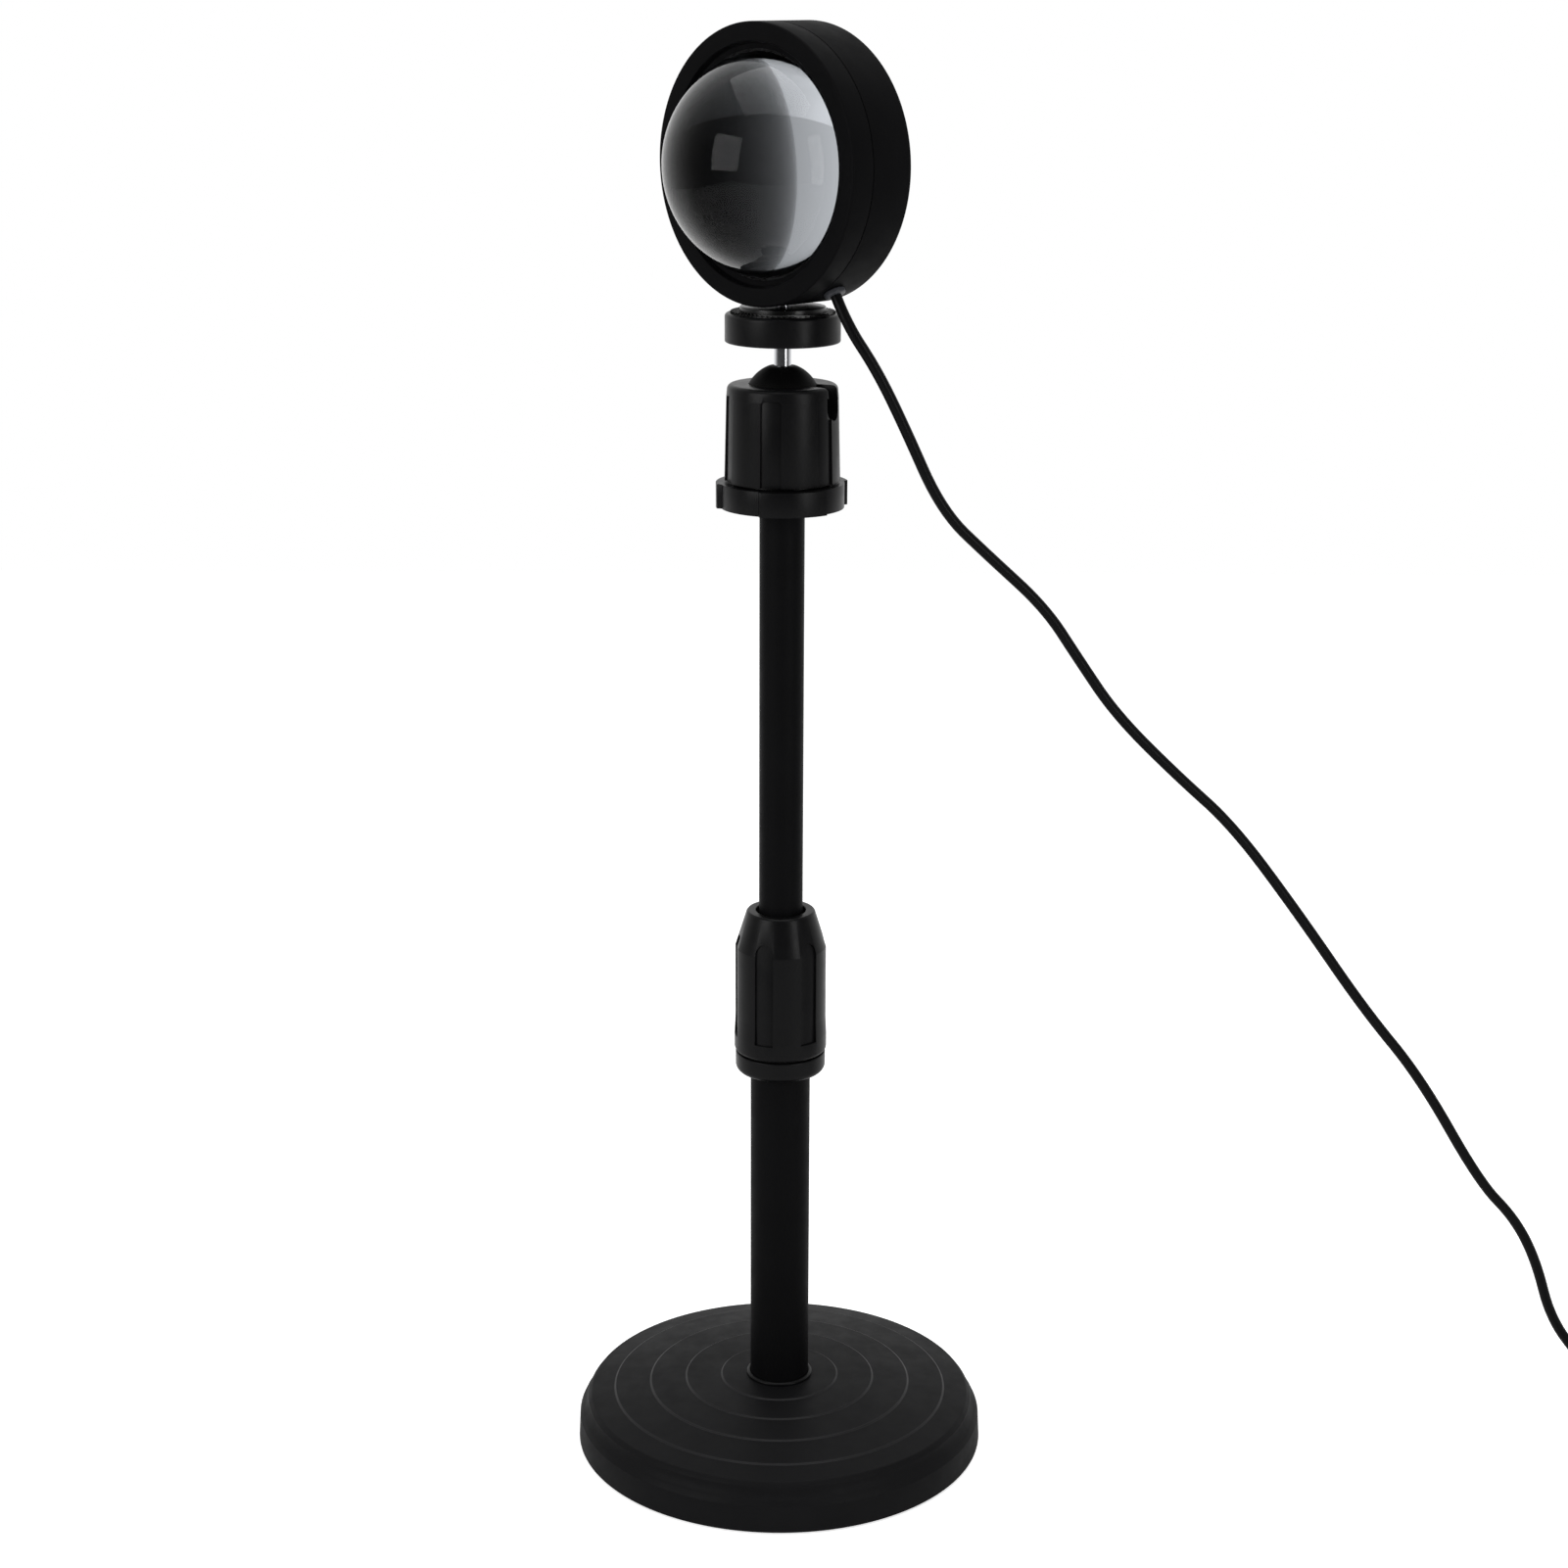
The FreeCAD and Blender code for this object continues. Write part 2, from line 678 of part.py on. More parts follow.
def lower_tube():
    """The fixed tube, the threaded plug in its foot and the ring round it."""
    turned_piece("lower_tube", [
        ("lower_tube_bore", "base_top"),
        ("lower_tube_radius", "base_top"),
        ("lower_tube_radius", "lower_tube_top"),
        ("lower_tube_bore", "lower_tube_top"),
    ])
    turned_piece("tube_plug", [
        ("bolt_radius", "base_top"),
        ("lower_tube_bore", "base_top"),
        ("lower_tube_bore", "base_top + tube_plug_height"),
        ("bolt_radius", "base_top + tube_plug_height"),
    ])
    inner = "lower_tube_radius + fit_gap"
    outer = "lower_tube_radius + foot_ring_width"
    turned_piece("foot_ring", [
        (inner, "base_top"),
        (outer, "base_top"),
        (outer, "base_top + foot_ring_height / 2"),
        (f"{outer} - foot_ring_height / 2", "base_top + foot_ring_height"),
        (inner, "base_top + foot_ring_height"),
    ])


def upper_tube():
    """The sliding tube, with a glide bush on its lower end that runs inside the lower tube."""
    inner = "upper_tube_radius - upper_tube_wall"
    turned_piece("upper_tube", [
        (inner, "upper_tube_bottom"),
        ("upper_tube_radius", "upper_tube_bottom"),
        ("upper_tube_radius", "upper_tube_top"),
        (inner, "upper_tube_top"),
    ])
    bush = "lower_tube_bore - running_gap"
    bush_foot = "upper_tube_bottom - bush_lip"
    turned_piece("glide_bush", [
        (inner, bush_foot),
        (bush, bush_foot),
        (bush, f"{bush_foot} + bush_height"),
        ("upper_tube_radius", f"{bush_foot} + bush_height"),
        ("upper_tube_radius", "upper_tube_bottom"),
        (inner, "upper_tube_bottom"),
    ])
    plug_foot = "upper_tube_top - tube_top_plug_height"
    turned_piece("tube_top_plug", [
        ("joining_screw_radius", plug_foot),
        (inner, plug_foot),
        (inner, "upper_tube_top"),
        ("joining_screw_radius", "upper_tube_top"),
    ])
    turned_piece("joining_screw", [
        (0, f"{plug_foot} - joining_screw_head_height"),
        ("joining_screw_head_radius", f"{plug_foot} - joining_screw_head_height"),
        ("joining_screw_head_radius", plug_foot),
        ("joining_screw_radius", plug_foot),
        ("joining_screw_radius", "joining_screw_end"),
        (0, "joining_screw_end"),
    ])


def lock_collet():
    """The collet on top of the lower tube: a rounded ring, a threaded neck and tapered split fingers."""
    seat = "lower_tube_radius"
    bore = "upper_tube_radius + running_gap"
    body = turned_piece("lock_collet", [
        (seat, "collet_bottom"),
        ("collet_ring_radius - collet_round", "collet_bottom"),
        ("collet_ring_radius", "collet_bottom + collet_round"),
        ("collet_ring_radius", "collet_ring_top"),
        ("thread_radius", "collet_ring_top"),
        ("thread_radius", "thread_top"),
        ("finger_tip_radius", "finger_top"),
        (bore, "finger_top"),
        (bore, "lower_tube_top"),
        (seat, "lower_tube_top"),
    ], {1: ("collet_round", 1)})
    doc.recompute()
    half = "slit_width / 2"
    slit = cut_forwards(body, "slit", [
        (f"-({half})", "slit_bottom"),
        (half, "slit_bottom"),
        (half, "finger_top + slit_width"),
        (f"-({half})", "finger_top + slit_width"),
    ], reach="nut_radius")
    around(body, slit, "slits", SLITS)


def collar_nut():
    """The twist nut: a cylinder under a cone, with shallow arched finger panels and a bore for the collet."""
    bore = "thread_radius + running_gap"
    tip = "finger_tip_radius + nut_cone_gap"
    mouth = [
        ("nut_mouth_radius", "nut_top"),
        ("nut_mouth_radius", "nut_under_lip"),
        (tip, "nut_under_lip"),
        (bore, "thread_top + nut_cone_gap"),
        (bore, "nut_bottom"),
    ]
    edge = "nut_cone_gap"
    outer = [
        (f"nut_radius - {edge}", "nut_bottom"),
        ("nut_flare_radius", f"nut_bottom + {edge} * 2"),
        ("nut_flare_radius", "nut_flare_level"),
        ("nut_radius", "nut_panel_bottom + nut_panel_width"),
        ("nut_radius", "nut_shoulder"),
        (f"nut_top_radius + {edge} / 2", f"nut_top - {edge}"),
        (f"nut_top_radius - {edge}", "nut_top"),
    ]
    body = new_body("collar_nut", "nut_panel_turn")
    spin(body, "nut_skin", outer + mouth)
    doc.recompute()
    half = "nut_panel_width / 2"
    panel = cut_forwards(body, "nut_panel", [
        (f"-({half})", "nut_panel_bottom"),
        (half, "nut_panel_bottom"),
        (half, f"nut_panel_top - {half}"),
        (f"-({half})", f"nut_panel_top - {half}"),
    ], {2: (f"{half} * {HALF_ROUND}", 1)}, reach="base_radius")
    around(body, panel, "nut_panels", PANELS)
    inset = "nut_panel_depth"
    spin(body, "nut_core", [
        (f"nut_radius - {inset}", "nut_bottom"),
        (f"nut_radius - {inset}", "nut_shoulder"),
        (f"nut_top_radius - {inset}", "nut_top"),
    ] + mouth)
    keep(body)


# ---------------------------------------------------------------- ball joint


def ball_housing():
    """The fixed half of the ball joint: a flange with three lugs, a threaded neck and a round cup."""
    screw = "joining_screw_radius"
    body = new_body("ball_housing", "lug_turn")
    spin(body, "housing", [
        ("upper_tube_radius", "flange_bottom"),
        ("flange_radius", "flange_bottom"),
        ("flange_radius", "flange_top"),
        ("neck_radius", "flange_top"),
        ("neck_radius", "neck_top"),
        ("sqrt(cup_radius^2 - ball_rise^2)", "neck_top"),
        (screw, f"ball_level - sqrt(cup_radius^2 - {screw}^2)"),
        (screw, "upper_tube_top"),
        ("upper_tube_radius", "upper_tube_top"),
    ], {5: ("cup_radius", -1)})
    reach = "sqrt(lug_radius^2 - lug_half_width^2)"
    sketch = outline(body, "lug_outline", "XY_Plane", [
        ("neck_radius", "-(lug_half_width)"),
        (reach, "-(lug_half_width)"),
        (reach, "lug_half_width"),
        ("neck_radius", "lug_half_width"),
    ], {1: ("lug_radius", 1)}, shift="flange_bottom")
    lug = body.newObject("PartDesign::Pad", "lug")
    lug.Profile = sketch
    lug.setExpression("Length", bound("flange_thickness"))
    doc.recompute()
    around(body, lug, "lugs", LUGS)
    keep(body)


def lock_sleeve():
    """The ribbed sleeve that screws down on the ball, with a slot in which the stem can lie flat."""
    cavity = [
        ("sqrt(cup_radius^2 - sleeve_rise^2)", "sleeve_top"),
        ("cup_radius", "ball_level"),
        ("cup_radius", "neck_top + fit_gap * 3"),
        ("neck_bore", "neck_top + fit_gap * 3"),
        ("neck_bore", "sleeve_bottom"),
    ]
    body = new_body("lock_sleeve", "slot_turn")
    spin(body, "sleeve_skin", [
        ("sleeve_bottom_radius", "sleeve_bottom"),
        ("sleeve_radius", "sleeve_shoulder"),
        ("sleeve_top_radius", "sleeve_top"),
    ] + cavity, {1: ("sleeve_round", 1), 3: ("cup_radius", -1)})
    doc.recompute()
    half = "sleeve_panel_width / 2"
    panel = cut_forwards(body, "sleeve_panel", [
        (f"-({half})", "sleeve_bottom - sleeve_panel_depth"),
        (half, "sleeve_bottom - sleeve_panel_depth"),
        (half, "sleeve_panel_top"),
        (f"-({half})", "sleeve_panel_top"),
    ])
    panel.Profile[0].AttachmentOffset = FreeCAD.Placement(
        FreeCAD.Vector(0, 0, 0),
        FreeCAD.Rotation(FreeCAD.Vector(0, 1, 0), size("sleeve_panel_turn")),
    )
    around(body, panel, "sleeve_panels", PANELS)
    inset = "sleeve_panel_depth"
    spin(body, "sleeve_core", [
        (f"sleeve_bottom_radius - {inset}", "sleeve_bottom"),
        (f"sleeve_radius - {inset}", "sleeve_shoulder"),
        (f"sleeve_top_radius - {inset}", "sleeve_top"),
    ] + cavity, {1: ("sleeve_round", 1), 3: ("cup_radius", -1)})
    doc.recompute()
    half = "slot_width / 2"
    cut_forwards(body, "stem_slot", [
        (f"-({half})", "sleeve_top + slot_width"),
        (f"-({half})", f"slot_bottom + {half}"),
        (half, f"slot_bottom + {half}"),
        (half, "sleeve_top + slot_width"),
    ], {1: (f"{half} * {HALF_ROUND}", 1)})
    keep(body)


def ball_and_stud():
    """The ball, the bright stem with its threaded end, and the locking disc with its ribbed grip."""
    low = "ball_level - sqrt(ball_radius^2 - stem_radius^2)"
    turned_piece("ball", [
        (0, low),
        ("stem_radius", low),
        ("sqrt(ball_radius^2 - ball_flat^2)", "ball_level + ball_flat"),
        ("stem_radius", "ball_level + ball_flat"),
        ("stem_radius", "stem_bottom"),
        (0, "stem_bottom"),
    ], {1: ("ball_radius", 1)})
    turned_piece("stud", [
        (0, "stem_bottom"),
        ("stem_radius", "stem_bottom"),
        ("stem_radius", "disc_top"),
        ("stud_radius", "disc_top"),
        ("stud_radius", "stud_top - stud_chamfer"),
        ("stud_radius - stud_chamfer", "stud_top"),
        (0, "stud_top"),
    ])
    edge = "disc_round / 2"
    turned_piece("locking_disc", [
        ("stem_radius", "disc_bottom"),
        (f"disc_radius - {edge}", "disc_bottom"),
        ("disc_radius", f"disc_bottom + {edge}"),
        ("disc_radius", "disc_top - disc_round"),
        ("disc_radius - disc_round", "disc_top"),
        ("stem_radius", "disc_top"),
    ], {3: ("disc_round", 1)})
    turned_piece("grip_pad", [
        ("stud_radius", "disc_top"),
        ("grip_radius", "disc_top"),
        ("grip_radius", "grip_top - grip_edge"),
        ("grip_radius - grip_edge", "grip_top"),
        ("stud_radius", "grip_top"),
    ])


# ---------------------------------------------------------------- head

# The head's own frame has its lens on +Z, its top on +Y and its back at level 0.
HEAD_TURN = (FreeCAD.Rotation(FreeCAD.Vector(0, 0, 1), size("head_turn_angle"))
             * FreeCAD.Rotation(FreeCAD.Vector(1, 0, 0), 90))
HEAD_CENTRE = FreeCAD.Vector(0, 0, size("head_level"))
HEAD_PLACE = FreeCAD.Placement(HEAD_CENTRE - HEAD_TURN * FreeCAD.Vector(0, 0, size("head_back")), HEAD_TURN)


def head_piece(name, corners, arcs=None):
    body = turned_piece(name, corners, arcs)
    body.Placement = HEAD_PLACE
    return body


def rear_can():
    """The deep rear shell, with a boss for the threaded insert and a hole for the gland."""
    body = head_piece("rear_can", [
        (0, 0),
        ("head_radius - can_edge", 0),
        ("head_radius", "can_edge"),
        ("head_radius", "can_front"),
        ("can_bore", "can_front"),
        ("can_bore", "can_floor"),
        (0, "can_floor"),
    ], {1: ("can_edge", 1)})
    boss = body.newObject("PartDesign::AdditiveBox", "stud_boss")
    boss.setExpression("Length", bound("boss_width"))
    boss.setExpression("Width", bound("boss_depth - can_wall / 2"))
    boss.setExpression("Height", bound("can_front - boss_back_depth"))
    boss.Placement.Base = FreeCAD.Vector(
        -size("boss_width / 2"), -size("head_radius - can_wall / 2"), size("boss_back_depth"))
    bore = body.newObject("PartDesign::SubtractiveCylinder", "insert_bore")
    bore.setExpression("Radius", bound("insert_radius"))
    bore.setExpression("Height", bound("boss_depth + insert_radius"))
    bore.Placement = FreeCAD.Placement(
        FreeCAD.Vector(0, -size("head_radius - boss_depth"), size("head_back")),
        FreeCAD.Rotation(FreeCAD.Vector(0, 0, 1), FreeCAD.Vector(0, -1, 0)))
    side = gland_direction_in_head()
    hole = body.newObject("PartDesign::SubtractiveCylinder", "gland_hole")
    hole.setExpression("Radius", bound("gland_barrel_radius"))
    hole.setExpression("Height", bound("can_wall * 4"))
    hole.Placement = FreeCAD.Placement(
        side * size("head_radius - can_wall * 2") + FreeCAD.Vector(0, 0, size("head_back - gland_setback")),
        FreeCAD.Rotation(FreeCAD.Vector(0, 0, 1), side))
    body.Tip = hole


def gland_direction_in_head():
    turn = math.radians(size("gland_turn"))
    return FreeCAD.Vector(math.sin(turn), -math.cos(turn), 0)


def front_ring():
    """The bezel: a flat face with a bevelled edge, a ledge round the lens, and a spigot into the rear can."""
    rim = "lens_rim_radius + fit_gap"
    body = head_piece("front_ring", [
        ("spigot_bore", "spigot_depth"),
        ("spigot_radius", "spigot_depth"),
        ("spigot_radius", "bezel_back"),
        ("head_radius", "bezel_back"),
        ("head_radius", "head_depth - face_edge"),
        ("head_radius - face_edge", "head_depth"),
        ("face_bore_radius", "head_depth"),
        ("ledge_radius", "ledge_depth"),
        ("lip_radius", "lip_depth"),
        ("lip_radius", "lens_seat_depth"),
        (rim, "lens_seat_depth"),
        (rim, "gasket_back"),
        ("spigot_bore", "gasket_back"),
    ])
    for name, width, turn in (
        ("boss_notch", "boss_width + fit_gap * 4", 0),
        ("gland_notch", "gland_radius * 2 + fit_gap * 4", size("gland_turn")),
    ):
        notch = body.newObject("PartDesign::SubtractiveBox", name)
        notch.setExpression("Length", bound(width))
        notch.setExpression("Width", bound("spigot_wall * 3"))
        notch.setExpression("Height", bound("bezel_back - spigot_depth"))
        corner = FreeCAD.Vector(-size(width) / 2, -size("spigot_radius + spigot_wall"), size("spigot_depth"))
        about_lens = FreeCAD.Rotation(FreeCAD.Vector(0, 0, 1), turn)
        notch.Placement = FreeCAD.Placement(about_lens * corner, about_lens)
        body.Tip = notch


def lens():
    """The solid glass lens: flat behind, nearly a half ball in front, with a thin rim that holds it."""
    seat = "sqrt(lens_radius^2 - (lens_seat_depth - lens_centre_depth)^2)"
    head_piece("lens", [
        (0, "lens_back_depth"),
        ("lens_rim_radius", "lens_back_depth"),
        ("lens_rim_radius", "lens_seat_depth"),
        (seat, "lens_seat_depth"),
        (0, "lens_centre_depth + lens_radius"),
    ], {3: ("lens_radius", 1)})


def lens_holders():
    """The gasket behind the lens, and the ring that screws in behind both."""
    head_piece("lens_gasket", [
        ("gasket_bore", "gasket_back"),
        ("lens_rim_radius", "gasket_back"),
        ("lens_rim_radius", "lens_back_depth"),
        ("gasket_bore", "lens_back_depth"),
    ])
    head_piece("lens_retainer", [
        ("retainer_bore", "retainer_back"),
        ("ring_radius", "retainer_back"),
        ("ring_radius", "gasket_back"),
        ("retainer_bore", "gasket_back"),
    ])


def baffle():
    """The black cone that carries the light from the film to the lens."""
    head_piece("light_baffle", [
        ("baffle_back_radius", "baffle_back"),
        ("baffle_back_radius + baffle_wall", "baffle_back"),
        ("baffle_front_radius + baffle_wall", "retainer_back - baffle_flange"),
        ("ring_radius", "retainer_back - baffle_flange"),
        ("ring_radius", "retainer_back"),
        ("baffle_front_radius", "retainer_back"),
        ("baffle_back_radius", "baffle_back + baffle_flange"),
    ])


def light_source():
    """The heat plate, the light board, the emitter, and the holder with the coloured film."""
    hole = "board_screw_radius + fit_gap"
    for name, radius, back, front in (
        ("heat_plate", "heat_plate_radius", "can_floor", "board_back"),
        ("light_board", "board_radius", "board_back", "board_front"),
    ):
        body = head_piece(name, [(0, back), (radius, back), (radius, front), (0, front)])
        drill = body.newObject("PartDesign::SubtractiveCylinder", f"{name}_hole")
        drill.setExpression("Radius", bound(hole))
        drill.setExpression("Height", bound(f"{front} - {back}"))
        drill.Placement.Base = FreeCAD.Vector(size("board_screw_circle"), 0, size(back))
        around(body, drill, f"{name}_holes", BOARD_SCREWS)
    emitter = doc.addObject("Part::Box", "emitter")
    for edge, text in (("Length", "emitter_side"), ("Width", "emitter_side"), ("Height", "emitter_thickness")):
        emitter.setExpression(edge, bound(text))
    half = size("emitter_side") / 2
    emitter.Placement = HEAD_PLACE.multiply(
        FreeCAD.Placement(FreeCAD.Vector(-half, -half, size("board_front")), FreeCAD.Rotation()))
    keep(emitter)
    head_piece("film_holder", [
        ("holder_inner_radius", "board_front"),
        ("holder_outer_radius", "board_front"),
        ("holder_outer_radius", "film_back"),
        ("holder_inner_radius", "film_back"),
    ])
    head_piece("sunset_film", [(0, "film_back"), ("film_radius", "film_back"), ("film_radius", "baffle_back"),
                               (0, "baffle_back")])


def board_screws():
    """Two small screws that hold the board and the heat plate to the can's floor."""
    shapes = []
    for i, (x, y) in enumerate(ring_of(BOARD_SCREWS, size("board_screw_circle"))):
        head = rod(f"board_screw_head_{i}", "board_screw_head_radius", "board_screw_head_height",
                   (x, y, size("board_front")))
        shank = rod(f"board_screw_shank_{i}", "board_screw_radius",
                    "heat_plate_thickness + board_thickness", (x, y, size("can_floor")))
        shapes.append(fuse(f"board_screw_{i}", [head, shank]))
    group = doc.addObject("Part::Compound", "board_screws")
    group.Links = shapes
    group.Placement = HEAD_PLACE
    keep(group)


def threaded_insert():
    """The brass bush in the bottom of the can that the stud screws into."""
    length = "boss_depth - insert_inset"
    body = new_body("threaded_insert")
    spin(body, "insert", [
        ("insert_bore", 0),
        ("insert_radius", 0),
        ("insert_radius", length),
        ("insert_bore", length),
    ])
    body.Placement.Base = FreeCAD.Vector(0, 0, size("head_foot + insert_inset"))
    keep(body)


GLAND_OUT = HEAD_TURN * gland_direction_in_head()
GLAND_SEAT = (HEAD_PLACE * FreeCAD.Vector(0, 0, size("head_back - gland_setback"))
              + GLAND_OUT * size("head_radius"))
LEAD_EXIT = GLAND_SEAT + GLAND_OUT * size("gland_proud")


def gland():
    """The pale grommet in the can's side, through which the lead leaves."""
    bore = "cord_radius"
    inside = "-(can_wall + fit_gap * 2)"
    flare = "-(can_wall + fit_gap * 2 + can_wall / 2)"
    body = new_body("lead_gland")
    spin(body, "gland", [
        (bore, flare),
        ("gland_radius", flare),
        ("gland_radius", inside),
        ("gland_barrel_radius", inside),
        ("gland_barrel_radius", "fit_gap"),
        ("gland_radius", "fit_gap"),
        ("gland_radius", "gland_proud - fit_gap * 3"),
        ("gland_radius - fit_gap * 3", "gland_proud"),
        (bore, "gland_proud"),
    ])
    body.Placement = FreeCAD.Placement(GLAND_SEAT, FreeCAD.Rotation(FreeCAD.Vector(0, 0, 1), GLAND_OUT))
    keep(body)


# ---------------------------------------------------------------- lead


def circle_at(place, direction, radius):
    return Part.Wire([Part.Edge(Part.Circle(place, direction, radius))])


def swept(path, start, direction):
    """A round tube of the lead's size along a wire."""
    pipe = Part.BRepOffsetAPI.MakePipeShell(path)
    pipe.add(circle_at(start, direction, size("cord_radius")))
    pipe.build()
    pipe.makeSolid()
    return pipe.shape()


def rounded_path(points):
    """Straight runs joined by arcs as large as their runs allow, and the radii of those arcs."""
    places = [FreeCAD.Vector(*p) for p in points]
    edges, radii, last = [], [], places[0]
    for before, corner, after in zip(places, places[1:], places[2:]):
        back, on = (before - corner), (after - corner)
        half_turn = (math.pi - back.getAngle(on)) / 2
        trim = 0.45 * min(back.Length, on.Length)
        radius = trim / math.tan(half_turn)
        back.normalize()
        on.normalize()
        start, end = corner + back * trim, corner + on * trim
        to_centre = (back + on).normalize()
        centre = corner + to_centre * (radius / math.cos(half_turn))
        edges.append(Part.LineSegment(last, start).toShape())
        edges.append(Part.Arc(start, centre - to_centre * radius, end).toShape())
        radii.append(radius)
        last = end
    edges.append(Part.LineSegment(last, places[-1]).toShape())
    return Part.Wire(edges), radii


def free_lead(name, points):
    """A free stretch of the lead, measured against its section times its length."""
    path, radii = rounded_path(points)
    first = FreeCAD.Vector(*points[0])
    shape = swept(path, first, FreeCAD.Vector(*points[1]) - first)
    expected = math.pi * size("cord_radius") ** 2 * path.Length
    print(name, "length", round(path.Length, 1), "volume over expected", round(shape.Volume / expected, 4))
    print(name, "radii", [round(r, 1) for r in radii])
    piece = doc.addObject("Part::Feature", name)
    piece.Shape = shape
    keep(piece)
    return path.Length


def coil_point(quarter):
    """A place on the coil and the way it runs, a number of quarter turns from where it changes layer."""
    pitch, inner = size("coil_pitch"), size("coil_inner_radius")
    low = size("coil_lift + cord_radius")
    radius = inner + pitch * abs(quarter) / 4
    growth = pitch / (2 * math.pi) * (0 if quarter == 0 else math.copysign(1, quarter))
    level = low + pitch * (0.5 if quarter == 0 else (quarter > 0))
    climb = pitch * 1.5 / math.pi if quarter == 0 else 0
    angle = math.pi / 2 - (quarter + COIL_QUARTERS_IN) * math.pi / 2
    out = FreeCAD.Vector(math.cos(angle), math.sin(angle), 0)
    round_ = FreeCAD.Vector(math.sin(angle), -math.cos(angle), 0)
    place = FreeCAD.Vector(*COIL_CENTRE, level) + out * radius
    way = round_ * radius + out * growth + FreeCAD.Vector(0, 0, climb)
    return place, way.normalize()


def two_arcs(start, way, end, end_way):
    """Two arcs that leave start along way, arrive at end along end_way, and meet smoothly."""
    chord = end - start
    both = way + end_way
    a = 2 * (1 - way.dot(end_way))
    b = 2 * chord.dot(both)
    c = -chord.dot(chord)
    reach = (-b + math.sqrt(b * b - 4 * a * c)) / (2 * a)
    first, second = start + way * reach, end - end_way * reach
    joint = (first + second) * 0.5
    made = []
    for one, corner, other in ((start, first, joint), (joint, second, end)):
        back, on = (one - corner).normalize(), (other - corner).normalize()
        half = back.getAngle(on) / 2
        middle = (back + on).normalize()
        radius = reach * math.tan(half)
        made.append(Part.Arc(one, corner + middle * (reach / math.cos(half) - radius), other).toShape())
    return made


def least_gap(points, diameter):
    """The least distance between two stretches of a wound line, less the diameter."""
    skip = 14
    nearest = min((a - b).Length for i, a in enumerate(points) for b in points[i + skip:])
    return nearest - diameter


def lead_coil():
    """The put-away lead: two layers of loops as one unbroken tube, with a short straight piece at each end."""
    straight = size("cord_radius") * 2
    spots = [coil_point(q) for q in range(-COIL_QUARTERS_IN, COIL_QUARTERS_OUT + 1)]
    (first, way_in), (last, way_out) = spots[0], spots[-1]
    begin, finish = first - way_in * straight, last + way_out * straight
    edges = [Part.LineSegment(begin, first).toShape()]
    for (start, way), (end, end_way) in zip(spots, spots[1:]):
        edges += two_arcs(start, way, end, end_way)
    edges.append(Part.LineSegment(last, finish).toShape())
    path = Part.Wire(edges)
    sampled = [e.valueAt(e.FirstParameter + (e.LastParameter - e.FirstParameter) * k / 6)
               for e in edges[1:-1] for k in range(6)]
    print("lead_coil length", round(path.Length, 1), "least gap", round(least_gap(sampled, straight), 2))
    piece = doc.addObject("Part::Feature", "lead_coil")
    piece.Shape = swept(path, begin, way_in)
    keep(piece)
    return begin, finish, path.Length


def coil_tie():
    """The soft strap round the turns, on the side of the coil away from the plug."""
    pitch, lift = size("coil_pitch"), size("coil_lift")
    turns = COIL_QUARTERS_IN / 4
    inner = size("coil_inner_radius - cord_radius") - lift
    outer = size("coil_inner_radius + cord_radius") + pitch * turns + lift * 2
    height = lift * 2 + size("cord_radius") * 2 + pitch
    skin = size("tie_thickness")
    width = size("tie_width")
    place = FreeCAD.Vector(COIL_CENTRE[0] - outer, COIL_CENTRE[1] - width / 2, 0)
    block = Part.makeBox(outer - inner, width, height, place)
    hollow = Part.makeBox(outer - inner - 2 * skin, width, height - 2 * skin,
                          place + FreeCAD.Vector(skin, 0, skin))
    long_edges = [e for e in block.Edges if abs(e.Vertexes[0].Y - e.Vertexes[1].Y) > width / 2]
    piece = doc.addObject("Part::Feature", "coil_tie")
    piece.Shape = block.makeFillet(skin * 2, long_edges).cut(hollow)
    keep(piece)


